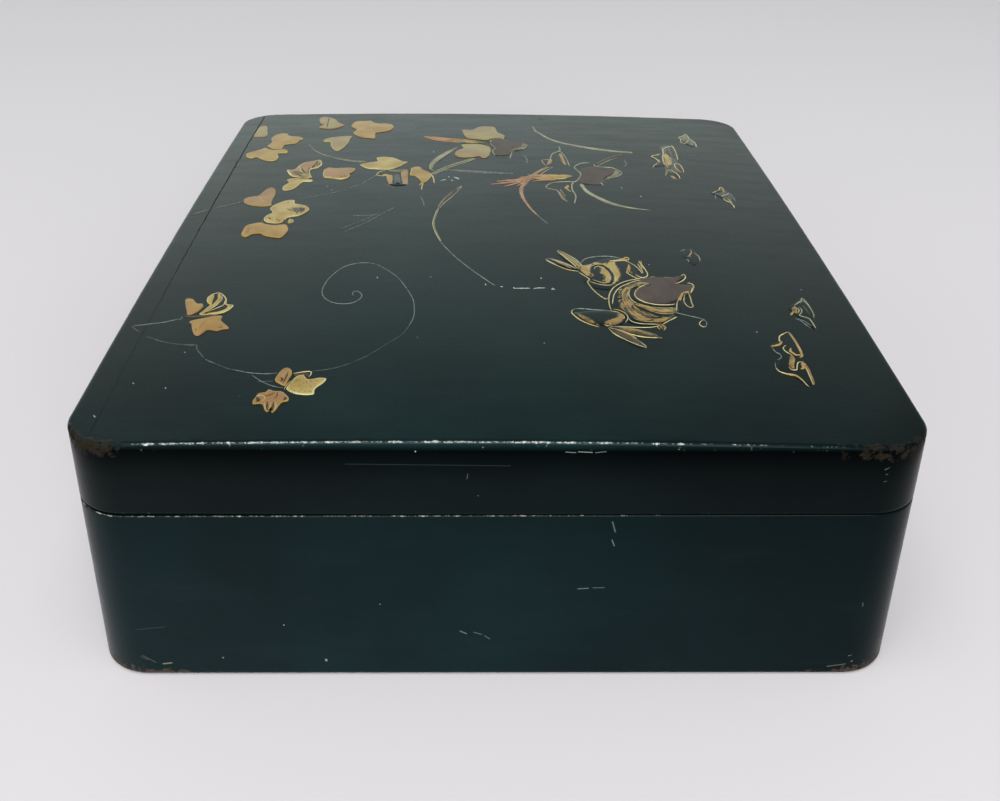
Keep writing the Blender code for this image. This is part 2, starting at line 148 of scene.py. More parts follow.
def lacquerMaterial(name, look, hazeAmount):
    # Urushi lacquer, brushed and polished: a deep semi-gloss black-green, hazed by age, pale on the arrises
    material, tree, shader, place = newMaterial(name)
    clouds = addNode(tree, "ShaderNodeTexNoise", {"noise_dimensions": "3D"},
                     {"Vector": place, "Scale": perMetre(look["cloudSize"]), "Detail": 3.0, "Roughness": 0.55})
    base = addNode(tree, "ShaderNodeValToRGB", {"stops": ((0.35, look["deep"]), (0.70, look["thin"]))},
                   {"Fac": clouds.outputs["Fac"]})
    # rub marks: long fine streaks along the width
    stretched = addNode(tree, "ShaderNodeMapping", None, {"Vector": place, "Scale": (0.25, 1.0, 1.0)})
    rubs = addNode(tree, "ShaderNodeTexNoise", None,
                   {"Vector": stretched.outputs["Vector"], "Scale": perMetre(7), "Detail": 6.0, "Roughness": 0.62})
    haze = addNode(tree, "ShaderNodeMapRange", {"interpolation_type": "SMOOTHSTEP"},
                   {"Value": rubs.outputs["Fac"], "From Min": 0.52, "From Max": 0.85, "To Max": hazeAmount})
    hazed = addNode(tree, "ShaderNodeMix", {"data_type": "RGBA"},
                    {"Factor": haze.outputs["Result"], "A": base.outputs["Color"], "B": look["haze"]})
    # painted sheen, stronger at the left and low on the sides
    parts = addNode(tree, "ShaderNodeSeparateXYZ", None, {"Vector": place})
    across = addNode(tree, "ShaderNodeMapRange", None,
                     {"Value": parts.outputs["X"], "From Min": -width / 2, "From Max": width / 2,
                      "To Min": look["left"], "To Max": look["right"]})
    up = addNode(tree, "ShaderNodeMapRange", None,
                 {"Value": parts.outputs["Z"], "From Min": look["foot"], "From Max": look["brow"]})
    byHeight = addNode(tree, "ShaderNodeValToRGB", {"stops": look["heights"]}, {"Fac": up.outputs["Result"]})
    paintedSheenFactor = addNode(tree, "ShaderNodeMath", {"operation": "MULTIPLY"},
                   {0: across.outputs["Result"], 1: byHeight.outputs["Color"]})
    # painted shade: the colour darkened towards the ends and up the sides
    along = addNode(tree, "ShaderNodeMapRange", None,
                    {"Value": parts.outputs["X"], "From Min": -width / 2, "From Max": width / 2})
    ends = addNode(tree, "ShaderNodeValToRGB", {"stops": look["ends"]}, {"Fac": along.outputs["Result"]})
    paintedShadeUp = addNode(tree, "ShaderNodeValToRGB", {"stops": look["paintedShadeUp"]}, {"Fac": up.outputs["Result"]})
    paintedShadeFactor = addNode(tree, "ShaderNodeMath", {"operation": "MULTIPLY"},
                       {0: ends.outputs["Color"], 1: paintedShadeUp.outputs["Color"]})
    withPaintedShade = addNode(tree, "ShaderNodeMix", {"data_type": "RGBA", "blend_type": "MULTIPLY"},
                     {"Factor": 1.0, "A": hazed.outputs["Result"], "B": paintedShadeFactor.outputs[0]})
    # scratches and specks on the front, each a stroke measured from its own line
    scratched = withPaintedShade.outputs["Result"]
    for colour, lineWidth, (startX, startZ), (endX, endZ) in look["marks"]:
        start = Vector((startX, -depth / 2 / mm, startZ)) * mm
        run = Vector((endX - startX, 0, endZ - startZ)) * mm
        offset = addNode(tree, "ShaderNodeVectorMath", {"operation": "SUBTRACT"}, {0: place, 1: start})
        onLine = addNode(tree, "ShaderNodeVectorMath", {"operation": "DOT_PRODUCT"},
                         {0: offset.outputs["Vector"], 1: run / max(run.length_squared, 1e-12)})
        share = addNode(tree, "ShaderNodeClamp", None, {"Value": onLine.outputs["Value"]})
        foot = addNode(tree, "ShaderNodeVectorMath", {"operation": "SCALE"}, {0: run, "Scale": share.outputs["Result"]})
        away = addNode(tree, "ShaderNodeVectorMath", {"operation": "DISTANCE"},
                       {0: offset.outputs["Vector"], 1: foot.outputs["Vector"]})
        mask = addNode(tree, "ShaderNodeMapRange", {"interpolation_type": "SMOOTHSTEP"},
                       {"Value": away.outputs["Value"], "From Min": 0.25 * lineWidth * mm,
                        "From Max": 0.6 * lineWidth * mm, "To Min": 0.8, "To Max": 0.0})
        scratched = addNode(tree, "ShaderNodeMix", {"data_type": "RGBA"},
                            {"Factor": mask.outputs["Result"], "A": scratched, "B": colour}).outputs["Result"]
    # worn arrises and a pale painted highlight along their crests, broken up by noise
    edge = addNode(tree, "ShaderNodeAttribute", {"attribute_name": "wear"})
    crumbs = addNode(tree, "ShaderNodeTexNoise", None,
                     {"Vector": place, "Scale": perMetre(2.4), "Detail": 8.0, "Roughness": 0.74})
    lift = addNode(tree, "ShaderNodeMath", {"operation": "MULTIPLY_ADD"},
                   {0: crumbs.outputs["Fac"], 1: 2.5, 2: -1.74})
    reach = addNode(tree, "ShaderNodeMath", {"operation": "ADD"}, {0: edge.outputs["Fac"], 1: lift.outputs[0]})
    wear = addNode(tree, "ShaderNodeMapRange", {"interpolation_type": "SMOOTHSTEP"},
                   {"Value": reach.outputs[0], "From Min": 0.25, "From Max": 0.60})
    flecks = addNode(tree, "ShaderNodeTexNoise", None,
                     {"Vector": place, "Scale": perMetre(0.9), "Detail": 4.0, "Roughness": 0.7})
    wornAndHighlightTone = addNode(tree, "ShaderNodeValToRGB", {"stops": ((0.42, look["scuffed"]), (0.58, look["wornAndHighlighted"]))},
                         {"Fac": flecks.outputs["Fac"]})
    wornAndHighlighted = addNode(tree, "ShaderNodeMix", {"data_type": "RGBA"},
                   {"Factor": wear.outputs["Result"], "A": scratched, "B": wornAndHighlightTone.outputs["Color"]})
    bare = addNode(tree, "ShaderNodeAttribute", {"attribute_name": "bare"})
    bareSpots = addNode(tree, "ShaderNodeMath", {"operation": "ADD"}, {0: bare.outputs["Fac"], 1: lift.outputs[0]})
    bareMask = addNode(tree, "ShaderNodeMapRange", {"interpolation_type": "SMOOTHSTEP"},
                       {"Value": bareSpots.outputs[0], "From Min": 0.10, "From Max": 0.35})
    ground = addNode(tree, "ShaderNodeMix", {"data_type": "RGBA"},
                     {"Factor": bareMask.outputs["Result"], "A": wornAndHighlighted.outputs["Result"], "B": look["bare"]})
    tree.links.new(ground.outputs["Result"], shader.inputs["Base Color"])
    # gloss: polished field, duller haze and the worn and highlighted places
    dull = addNode(tree, "ShaderNodeMath", {"operation": "MAXIMUM"},
                   {0: wear.outputs["Result"], 1: bareMask.outputs["Result"]})
    fieldGloss = addNode(tree, "ShaderNodeMapRange", None,
                         {"Value": rubs.outputs["Fac"], "From Min": 0.3, "From Max": 0.8,
                          "To Min": look["roughness"], "To Max": look["roughness"] + 0.10})
    gloss = addNode(tree, "ShaderNodeMix", {"data_type": "FLOAT"},
                    {"Factor": dull.outputs[0], "A": fieldGloss.outputs["Result"], "B": 0.6})
    tree.links.new(gloss.outputs["Result"], shader.inputs["Roughness"])
    # the brush leaves faint long waves, the worn and highlighted places are pitted
    brushed = addNode(tree, "ShaderNodeMapping", None, {"Vector": place, "Scale": (0.06, 1.0, 1.0)})
    waves = addNode(tree, "ShaderNodeTexNoise", None,
                    {"Vector": brushed.outputs["Vector"], "Scale": perMetre(look["brushSize"]), "Detail": 2.0})
    surface = addNode(tree, "ShaderNodeBump", None,
                      {"Height": waves.outputs["Fac"], "Strength": 0.03, "Distance": 0.15 * mm})
    pits = addNode(tree, "ShaderNodeMath", {"operation": "MULTIPLY"},
                   {0: crumbs.outputs["Fac"], 1: dull.outputs[0]})
    rough = addNode(tree, "ShaderNodeBump", None,
                    {"Height": pits.outputs[0], "Strength": 0.5, "Distance": 0.4 * mm,
                     "Normal": surface.outputs["Normal"]})
    tree.links.new(rough.outputs["Normal"], shader.inputs["Normal"])
    sheen = addNode(tree, "ShaderNodeMath", {"operation": "MULTIPLY"}, {0: paintedSheenFactor.outputs[0], 1: look["specular"]})
    tree.links.new(sheen.outputs[0], shader.inputs["Specular IOR Level"])
    shader.inputs["Specular IOR Level"].default_value = look["specular"]   # where a link isn't carried over
    return material


goldLook = {
    "grainSize": 0.45,       # the sprinkled powder is finer; drawn coarse enough to show
    "patchSize": 9,
    "rubSize": 2.2,
    "ground": "#06191b",     # lacquer that shows where the powder is rubbed off
    "veil": 0.5,             # clear coat over the powder
    "metallic": 0.18,
    "roughness": 0.52,
}


def goldMaterial(name, look, pale, warm, rubbed):
    # Maki-e: gold powder sprinkled on wet lacquer and burnished, satin and a little grainy, rubbed in places
    material, tree, shader, place = newMaterial(name)
    patches = addNode(tree, "ShaderNodeTexNoise", None,
                      {"Vector": place, "Scale": perMetre(look["patchSize"]), "Detail": 3.0})
    tone = addNode(tree, "ShaderNodeValToRGB", {"stops": ((0.38, pale), (0.64, warm))},
                   {"Fac": patches.outputs["Fac"]})
    grain = addNode(tree, "ShaderNodeTexNoise", None,
                    {"Vector": place, "Scale": perMetre(look["grainSize"]), "Detail": 3.0, "Roughness": 0.7})
    speckle = addNode(tree, "ShaderNodeMapRange", None,
                      {"Value": grain.outputs["Fac"], "From Min": 0.3, "From Max": 0.7,
                       "To Min": 0.72, "To Max": 1.14})
    dusted = addNode(tree, "ShaderNodeMix", {"data_type": "RGBA", "blend_type": "MULTIPLY"},
                     {"Factor": 1.0, "A": tone.outputs["Color"], "B": speckle.outputs["Result"]})
    # where the powder lies: the piece's own cover attribute, eaten into by noise
    cover = addNode(tree, "ShaderNodeAttribute", {"attribute_name": "cover"})
    rubs = addNode(tree, "ShaderNodeTexNoise", None,
                   {"Vector": place, "Scale": perMetre(look["rubSize"]), "Detail": 6.0, "Roughness": 0.7})
    eaten = addNode(tree, "ShaderNodeMath", {"operation": "MULTIPLY_ADD"},
                    {0: rubs.outputs["Fac"], 1: -1.6, 2: 1.12 - rubbed})
    left = addNode(tree, "ShaderNodeMath", {"operation": "ADD"},
                   {0: cover.outputs["Fac"], 1: eaten.outputs[0]})
    laid = addNode(tree, "ShaderNodeMapRange", {"interpolation_type": "SMOOTHSTEP"},
                   {"Value": left.outputs[0], "From Min": 0.38, "From Max": 0.72})
    surface = addNode(tree, "ShaderNodeMix", {"data_type": "RGBA"},
                      {"Factor": laid.outputs["Result"], "A": look["ground"], "B": dusted.outputs["Result"]})
    tree.links.new(surface.outputs["Result"], shader.inputs["Base Color"])
    metal = addNode(tree, "ShaderNodeMath", {"operation": "MULTIPLY"},
                    {0: laid.outputs["Result"], 1: look["metallic"]})
    tree.links.new(metal.outputs[0], shader.inputs["Metallic"])
    gloss = addNode(tree, "ShaderNodeMapRange", None,
                    {"Value": grain.outputs["Fac"], "From Min": 0.3, "From Max": 0.7,
                     "To Min": look["roughness"] - 0.08, "To Max": look["roughness"] + 0.12})
    matt = addNode(tree, "ShaderNodeMix", {"data_type": "FLOAT"},
                   {"Factor": laid.outputs["Result"], "A": lacquerLook["roughness"], "B": gloss.outputs["Result"]})
    tree.links.new(matt.outputs["Result"], shader.inputs["Roughness"])
    gloss2 = addNode(tree, "ShaderNodeMapRange", None,
                     {"Value": laid.outputs["Result"], "To Min": lacquerLook["specular"], "To Max": 0.25})
    tree.links.new(gloss2.outputs["Result"], shader.inputs["Specular IOR Level"])
    shader.inputs["Specular IOR Level"].default_value = 0.25
    depth_ = addNode(tree, "ShaderNodeMath", {"operation": "MULTIPLY"},
                     {0: grain.outputs["Fac"], 1: laid.outputs["Result"]})
    bumps = addNode(tree, "ShaderNodeBump", None,
                    {"Height": depth_.outputs[0], "Strength": 0.25, "Distance": 0.08 * mm})
    tree.links.new(bumps.outputs["Normal"], shader.inputs["Normal"])
    # clear lacquer over the powder, which veils the gold where it is seen at a low angle
    shader.inputs["Coat Weight"].default_value = look["veil"]
    shader.inputs["Coat Roughness"].default_value = 0.3
    shader.inputs["Coat IOR"].default_value = 1.32
    return material


leadLook = {
    "dark": "#3a2c28",
    "light": "#5a4a42",
    "streakSize": 1.2,
    "roughness": 0.46,
    "metallic": 0.45,
}


def leadMaterial(name, look):
    # Rolled lead sheet: a soft brown-grey skin of oxide, finely streaked, with a dull metal sheen
    material, tree, shader, place = newMaterial(name)
    along = addNode(tree, "ShaderNodeMapping", None, {"Vector": place, "Scale": (1.0, 0.12, 1.0)})
    streaks = addNode(tree, "ShaderNodeTexNoise", None,
                      {"Vector": along.outputs["Vector"], "Scale": perMetre(look["streakSize"]), "Detail": 5.0})
    clouds = addNode(tree, "ShaderNodeTexNoise", None, {"Vector": place, "Scale": perMetre(8), "Detail": 4.0})
    both = addNode(tree, "ShaderNodeMix", {"data_type": "FLOAT"},
                   {"Factor": 0.45, "A": streaks.outputs["Fac"], "B": clouds.outputs["Fac"]})
    colour = addNode(tree, "ShaderNodeValToRGB", {"stops": ((0.36, look["dark"]), (0.64, look["light"]))},
                     {"Fac": both.outputs["Result"]})
    tree.links.new(colour.outputs["Color"], shader.inputs["Base Color"])
    gloss = addNode(tree, "ShaderNodeMapRange", None,
                    {"Value": streaks.outputs["Fac"], "To Min": look["roughness"] - 0.1,
                     "To Max": look["roughness"] + 0.14})
    tree.links.new(gloss.outputs["Result"], shader.inputs["Roughness"])
    bumps = addNode(tree, "ShaderNodeBump", None,
                    {"Height": both.outputs["Result"], "Strength": 0.3, "Distance": 0.15 * mm})
    tree.links.new(bumps.outputs["Normal"], shader.inputs["Normal"])
    shader.inputs["Metallic"].default_value = look["metallic"]
    return material


def markMaterial(name, colour, spotColour, roughness):
    # Lacquer colour or paint laid thinly by brush or knock: matt, with its colour broken by fine noise
    material, tree, shader, place = newMaterial(name)
    broken = addNode(tree, "ShaderNodeTexNoise", None,
                     {"Vector": place, "Scale": perMetre(1.4), "Detail": 4.0, "Roughness": 0.65})
    mixed = addNode(tree, "ShaderNodeValToRGB", {"stops": ((0.40, colour), (0.62, spotColour))},
                    {"Fac": broken.outputs["Fac"]})
    tree.links.new(mixed.outputs["Color"], shader.inputs["Base Color"])
    shader.inputs["Roughness"].default_value = roughness
    shader.inputs["Specular IOR Level"].default_value = 0.25
    return material


# painted shade on the lid: its walls darker than its top, darkest and least glossy in a band just below the top arris
lidLook = {
    **lacquerLook, "specular": 0.085, "foot": 70 * mm, "brow": 96 * mm, "bare": "#1e1a13", "wornAndHighlighted": "#b9bab4",
    "scuffed": "#545a57", "ends": ((0.0, 0.55), (0.35, 1.0), (1.0, 0.50)),
    "heights": ((0.0, 1.05), (0.30, 0.90), (0.72, 0.22), (0.76, 0.5), (0.80, 1.0)),
    "paintedShadeUp": ((0.0, 0.34), (0.30, 0.27), (0.72, 0.07), (0.76, 0.5), (0.80, 1.0)),
    "marks": (("#39423f", 0.35, (-10.2, 80.5), (-10.5, 78.7)), ("#a9b0ac", 0.4, (-26.1, 88.6), (-26.1, 88.5)),
              ("#5d6563", 0.3, (-7, 72.6), (-7, 72.5)), ("#1b2729", 0.3, (-47.6, 84), (2.7, 83.5)),
              ("#020506", 0.6, (-1, 81.4), (3.3, 81.5)), ("#6c7370", 0.28, (19.5, 88.5), (22.6, 88.3)),
              ("#7a807c", 0.3, (23.4, 88.6), (27.6, 88.4)), ("#5f6663", 0.28, (28.6, 88.3), (31.8, 88.7)),
              ("#48504d", 0.4, (118.3, 82.4), (121.3, 84)), ("#4d5552", 0.35, (119, 80.6), (122.6, 82)),
              ("#454c4a", 0.35, (118.8, 78), (123, 79.4)), ("#3c4341", 0.3, (119.8, 76), (123.7, 77))),
}
# painted shade and sheen on the tray: darker and less glossy towards the ends, most at the right, and up its sides
trayLook = {
    **lacquerLook, "deep": "#071b1e", "thin": "#0a2326", "bare": "#3b3129", "wornAndHighlighted": "#9a978e", "scuffed": "#4a4a45",
    "ends": ((0.0, 0.80), (0.35, 1.0), (1.0, 0.50)), "heights": ((0.0, 1.05), (0.5, 0.92), (1.0, 0.55)),
    "marks": (("#4b5756", 0.5, (35.3, 62.8), (36.4, 59)), ("#566160", 0.45, (35.6, 55.8), (36.4, 53.6)),
              ("#5a6361", 0.4, (25.6, 36.4), (29, 36.6)), ("#4b5452", 0.35, (30.5, 36.8), (34.2, 36.9)),
              ("#616a68", 0.4, (-12.7, 18.8), (-10.6, 17.7)), ("#535c5a", 0.35, (-8.1, 18.3), (-5.6, 17.4)),
              ("#4c5553", 0.35, (-4.6, 16.8), (-2.8, 15.4)), ("#4a5250", 0.6, (119.9, 30.4), (120.1, 29)),
              ("#6b6f6c", 0.7, (-92, 7.5), (-92, 7.4)), ("#8a8066", 0.9, (-57.7, 6.5), (-57.6, 6.2)),
              ("#9aa19d", 0.4, (-70.7, 21.4), (-70.7, 21.3)), ("#9aa19d", 0.3, (-38.8, 30.1), (-38.8, 30)),
              ("#252f30", 0.4, (-120.7, 19.3), (-109.7, 20.6)), ("#3c403c", 0.4, (-122.5, 9.6), (-117, 6.6)),
              ("#44453f", 0.4, (-118.6, 8.4), (-114.6, 5.4)), ("#6f6e60", 0.6, (-112.2, 4.8), (-109.4, 5.2)),
              ("#8b8c85", 0.6, (120, 5.4), (122, 6.4)), ("#5c5d57", 0.4, (118.6, 8), (121.6, 8.8)),
              ("#504c42", 0.5, (112, 3.4), (118, 4.4))),
}
lidLacquer = lacquerMaterial("polishedLacquerOfLid", lidLook, 0.06)
trayLacquer = lacquerMaterial("handledLacquerOfTray", trayLook, 0.20)
lineLook = {**goldLook, "metallic": 0.2, "rubSize": 3.0}
dustLook = {**goldLook, "metallic": 0.08, "veil": 0.25, "rubSize": 1.6}
pictureMaterials = {
    "black": lidLacquer,
    "yellow": goldMaterial("yellowGoldPowder", goldLook, "#b9a360", "#a48741", 0.05),
    "ochre": goldMaterial("ochreGoldPowder", goldLook, "#b08e48", "#9c7636", 0.05),
    "orange": goldMaterial("redGoldPowder", goldLook, "#a68050", "#956c3d", 0.08),
    "petal": goldMaterial("softGoldPowder", {**goldLook, "patchSize": 12}, "#9c9058", "#967850", 0.05),
    "rose": goldMaterial("pinkGoldPowder", goldLook, "#b08668", "#93684e", 0.14),
    "pale": goldMaterial("paleGoldLine", lineLook, "#d2c591", "#b49e64", 0.26),
    "silver": goldMaterial("greySilverLine", lineLook, "#a29d82", "#7f7960", 0.18),
    "fill": goldMaterial("brushedGoldFill", {**goldLook, "rubSize": 1.3, "patchSize": 4}, "#a38140", "#6c5122", 0.24),
    "olive": goldMaterial("dustyOliveGold", dustLook, "#827e62", "#66624a", 0.20),
    "umber": goldMaterial("brownGoldDust", dustLook, "#4c3f2a", "#363022", 0.25),
    "vine": markMaterial("rubbedVineLine", "#7b847f", "#505956", 0.45),
    "vineFaint": markMaterial("faintVineLine", "#6c726c", "#414a47", 0.40),
    "vineDim": markMaterial("wornVineLine", "#424a48", "#242c2b", 0.35),
    "white": markMaterial("paleKnockMark", "#b4beb9", "#7d8984", 0.6),
    "brown": markMaterial("brownUnderpaint", "#6b4226", "#3e2718", 0.5),
}
leadSkin = leadMaterial("rolledLeadSheet", leadLook)
print("materials made")


# Box and lid

def roundedBlock(bottom, top):
    form = bmesh.new()
    bmesh.ops.create_cube(form, size=1)
    bmesh.ops.scale(form, vec=(width, depth, top - bottom), verts=form.verts)
    bmesh.ops.translate(form, vec=(0, 0, (top + bottom) / 2), verts=form.verts)
    uprights = [e for e in form.edges if abs(e.verts[0].co.z - e.verts[1].co.z) > mm]
    bmesh.ops.bevel(form, geom=uprights, offset=boxShape["cornerRadius"], offset_type="OFFSET", affect="EDGES",
                    segments=cornerSteps, profile=0.5, material=-1)
    return form


def endFace(form, up):
    return max(form.faces, key=lambda face: up * face.calc_center_median().z + face.calc_area())


def sunkFace(form, face, distance):
    made = bmesh.ops.extrude_discrete_faces(form, faces=[face])["faces"][0]
    bmesh.ops.translate(form, vec=(0, 0, distance), verts=made.verts)
    return made


def bevelRing(form, height, offset, segments, inside=None):
    ring = []
    for edge in form.edges:
        level = all(abs(v.co.z - height) < 1e-6 for v in edge.verts)
        turned = len(edge.link_faces) == 2 and edge.calc_face_angle() > 0.7
        if level and turned and (inside is None or inside(edge.verts[0].co)):
            ring.append(edge)
    bmesh.ops.bevel(form, geom=ring, offset=offset, offset_type="OFFSET", affect="EDGES",
                    segments=segments, profile=0.5, material=-1)


def insetRings(form, face, steps):
    for step in steps:
        bmesh.ops.inset_region(form, faces=[face], thickness=step, use_even_offset=True)


def cutAcross(form, normal, places, within=None):
    for place in places:
        faces = [f for f in form.faces if within is None or within(f)]
        pieces = list({v for f in faces for v in f.verts}) + list({e for f in faces for e in f.edges}) + faces
        bmesh.ops.bisect_plane(form, geom=pieces, dist=1e-6, plane_co=Vector(normal) * place, plane_no=normal)


def outlineDistance(x, y):
    # how far a point lies inside the rounded plan of the box
    radius = boxShape["cornerRadius"]
    across = abs(x) - (width / 2 - radius)
    along = abs(y) - (depth / 2 - radius)
    if across > 0 and along > 0:
        return radius - math.hypot(across, along)
    return radius - max(across, along)


def evenly(low, high, count):
    return [low + (high - low) * step / count for step in range(1, count)]


def finishPiece(name, form, materials, smooth=True):
    bmesh.ops.recalc_face_normals(form, faces=form.faces)
    mesh = bpy.data.meshes.new(name)
    form.to_mesh(mesh)
    form.free()
    for material in materials:
        mesh.materials.append(material)
    if smooth:
        mesh.shade_smooth()
        mesh.set_sharp_from_angle(angle=math.radians(38))
    piece = bpy.data.objects.new(name, mesh)
    bpy.context.scene.collection.objects.link(piece)
    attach(piece, "root")
    return piece


wearLook = {
    "crackInset": 9.5 * mm,
    "crackWidth": 0.55 * mm,
    "crackDepth": 0.8 * mm,
    "crackWander": 0.35 * mm,
    "chips": ((205, 2.4, 1.2), (218, 2.9, 1.5), (232, 2.0, 1.2), (246, 2.6, 1.3)),   # degrees, radius, bite in mm
    "dentDepth": 0.22 * mm,
}
crackX = -width / 2 + wearLook["crackInset"]


def crackLine(y):
    return crackX + wearLook["crackWander"] * (noise.noise(Vector((0.0, y / (9 * mm), 3.0)))
                                               + 0.5 * noise.noise(Vector((4.0, y / (2.5 * mm), 0.0))))


def openCrack(form):
    half = wearLook["crackWidth"] / 2
    cuts = [crackX - 3 * half, crackX - half, crackX, crackX + half, crackX + 3 * half]
    top = boxShape["edgeHeight"] - 4 * mm
    cutAcross(form, (1, 0, 0), cuts, lambda f: f.calc_center_median().z > top)
    strip = [f for f in form.faces
             if f.calc_center_median().z > top and abs(f.calc_center_median().x - crackX) < 2.9 * half]
    for y in evenly(-depth / 2, depth / 2, 150):
        faces = [f for f in strip if f.is_valid]
        pieces = list({v for f in faces for v in f.verts}) + list({e for f in faces for e in f.edges}) + faces
        made = bmesh.ops.bisect_plane(form, geom=pieces, dist=1e-6, plane_co=(0, y, 0), plane_no=(0, 1, 0))
        strip = [g for g in made["geom"] if isinstance(g, bmesh.types.BMFace)]
    for v in form.verts:
        aside = abs(v.co.x - crackX)
        if v.co.z < top or aside > 1.1 * half:
            continue
        wide = 0.22 + 0.78 * smoothStep(-0.35, 0.25, v.co.y / depth)
        v.co.x = crackLine(v.co.y) + (v.co.x - crackX) * wide
        if aside < 0.5 * half:
            v.co.z -= wearLook["crackDepth"] * wide * (0.55 + 0.6 * abs(noise.noise(Vector((1.0, v.co.y / (5 * mm), 0)))))
        else:
            v.co.x += (v.co.x - crackLine(v.co.y)) * 0.7 * noise.noise(Vector((7.0, v.co.y / (4 * mm), v.co.x * 900)))


def chipCorner(form, bare):
    radius = boxShape["cornerRadius"]
    middle = Vector((-width / 2 + radius, -depth / 2 + radius, 0))
    near = [e for e in form.edges
            if e.verts[0].co.z > boxShape["edgeHeight"] - 5 * mm
            and (e.verts[0].co.xy - middle.xy).length > radius - 4 * mm
            and e.verts[0].co.x < middle.x + 2 * mm and e.verts[0].co.y < middle.y + 2 * mm]
    bmesh.ops.subdivide_edges(form, edges=near, cuts=2, use_grid_fill=True)
    for direction, size, bite in wearLook["chips"]:
        angle = math.radians(direction)
        out = radius + (size - bite) * mm
        centre = middle + Vector((out * math.cos(angle), out * math.sin(angle), boxShape["edgeHeight"] + 0.3 * mm))
        for v in form.verts:
            way = v.co - centre
            reach = size * mm * (1 + 0.25 * noise.noise(v.co / (0.9 * mm)))
            if 0 < way.length < reach:
                v.co = centre + way * (reach / way.length)
                v[bare] = 1.0
            elif way.length < reach * 1.25:
                v[bare] = max(v[bare], 0.45)


def dentArris(form, height):
    for v in form.verts:
        inside = outlineDistance(v.co.x, v.co.y)
        if inside < 3 * mm and v.co.z > height - 3 * mm:
            ridge = 1 - min(1, abs(inside - 0.5 * mm) / (1.6 * mm))
            bump = max(0.0, noise.noise(v.co / (2.4 * mm)) - 0.12) * wearLook["dentDepth"] * ridge
            v.co -= Vector((v.co.x / width, v.co.y / depth, 1.2)).normalized() * bump


def lidShell():
    rim = boxShape["joint"] + boxShape["jointGap"] / 2
    rebate = boxShape["wall"] - boxShape["lipThickness"] - boxShape["lipClearance"]
    rebateTop = rim + boxShape["lipHeight"] + boxShape["lipClearance"]
    top = boxShape["edgeHeight"]
    ceiling = top - 7.5 * mm
    form = roundedBlock(rim, top)
    hollow = min(form.faces, key=lambda face: face.calc_center_median().z)
    insetRings(form, hollow, (rebate,))
    hollow = sunkFace(form, hollow, rebateTop - rim)
    insetRings(form, hollow, (boxShape["wall"] - rebate,))
    sunkFace(form, hollow, ceiling - rebateTop)
    bevelRing(form, top, 1.1 * mm, 6)
    bevelRing(form, rim, 0.4 * mm, 2)
    bevelRing(form, ceiling, 0.4 * mm, 2)
    roof = max(form.faces, key=lambda face: face.calc_center_median().z)
    insetRings(form, roof, (0.8 * mm, 1.2 * mm, 2 * mm, 4 * mm))
    outerWall = lambda f: outlineDistance(*f.calc_center_median().xy) < 0.5 * mm
    cutAcross(form, (0, 0, 1), (rim + 1.2 * mm, rim + 3 * mm, rim + 8 * mm, top - 7 * mm, top - 3.5 * mm, top - 2.6 * mm),
              outerWall)
    cutAcross(form, (1, 0, 0), evenly(-width / 2 + 12 * mm, width / 2 - 12 * mm, 28))
    cutAcross(form, (0, 1, 0), evenly(-depth / 2 + 12 * mm, depth / 2 - 12 * mm, 36))
    arris = lambda f: (outlineDistance(*f.calc_center_median().xy) < 2.6 * mm
                       and f.calc_center_median().z > top - 3 * mm)
    frontArris = lambda f: arris(f) and f.calc_center_median().y < -depth / 2 + 4 * mm
    cutAcross(form, (1, 0, 0), evenly(-width / 2 + 18 * mm, width / 2 - 18 * mm, 150), frontArris)
    openCrack(form)
    wear = form.verts.layers.float.new("wear")
    bare = form.verts.layers.float.new("bare")
    form.verts.layers.float.new("cover")
    dentArris(form, top)
    chipCorner(form, bare)
    for v in form.verts:
        inside = outlineDistance(v.co.x, v.co.y)
        onTop = v.co.z > top - 2.5 * mm
        upper = max(0.0, inside if onTop else top - 1.9 * mm - v.co.z)
        lower = v.co.z - rim + max(0.0, inside)
        atFront = 1 - smoothStep(4 * mm, 20 * mm, v.co.y + depth / 2)
        leftEnd = atFront * (1 - smoothStep(-122 * mm, -106 * mm, v.co.x))
        rightEnd = atFront * smoothStep(86 * mm, 116 * mm, v.co.x)
        # a pale painted highlight along the crest of the top arris, strongest at the front and fading to the right,
        # laid in with the wear
        crest = math.hypot(inside - 0.32 * mm, max(0.0, top - v.co.z) - 0.32 * mm)
        line = 1 - smoothStep(0.12 * mm, 0.66 * mm, crest)
        rubbed = atFront * (1.05 - 0.36 * smoothStep(20 * mm, 100 * mm, v.co.x)) * (1 - leftEnd)
        v[wear] = max(line * max(rubbed, 0.56), 0.5 * (1 - smoothStep(0.0, 1.6 * mm, lower)),
                      0.46 * (1 - smoothStep(0.5 * mm, 2.4 * mm, upper)))
        v[bare] = max(v[bare], (0.85 * leftEnd + 0.7 * rightEnd) * (1 - smoothStep(1 * mm, 6 * mm, upper + 0.4 * max(0.0, inside))))
        if lower < 1.2 * mm and inside < 0.6 * mm:
            # the joint gapes at the left front
            v.co.z += 0.55 * mm * atFront * (1 - smoothStep(-128 * mm, -10 * mm, v.co.x)) * (1 - smoothStep(0.5 * mm, 1.2 * mm, lower))
        v.co.z += crown(v.co.x, v.co.y) if v.co.z > rebateTop + mm else jointTilt(v.co.x)
    piece = finishPiece("lacquered_lid", form, [lidLacquer])
    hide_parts("lid")
    return piece


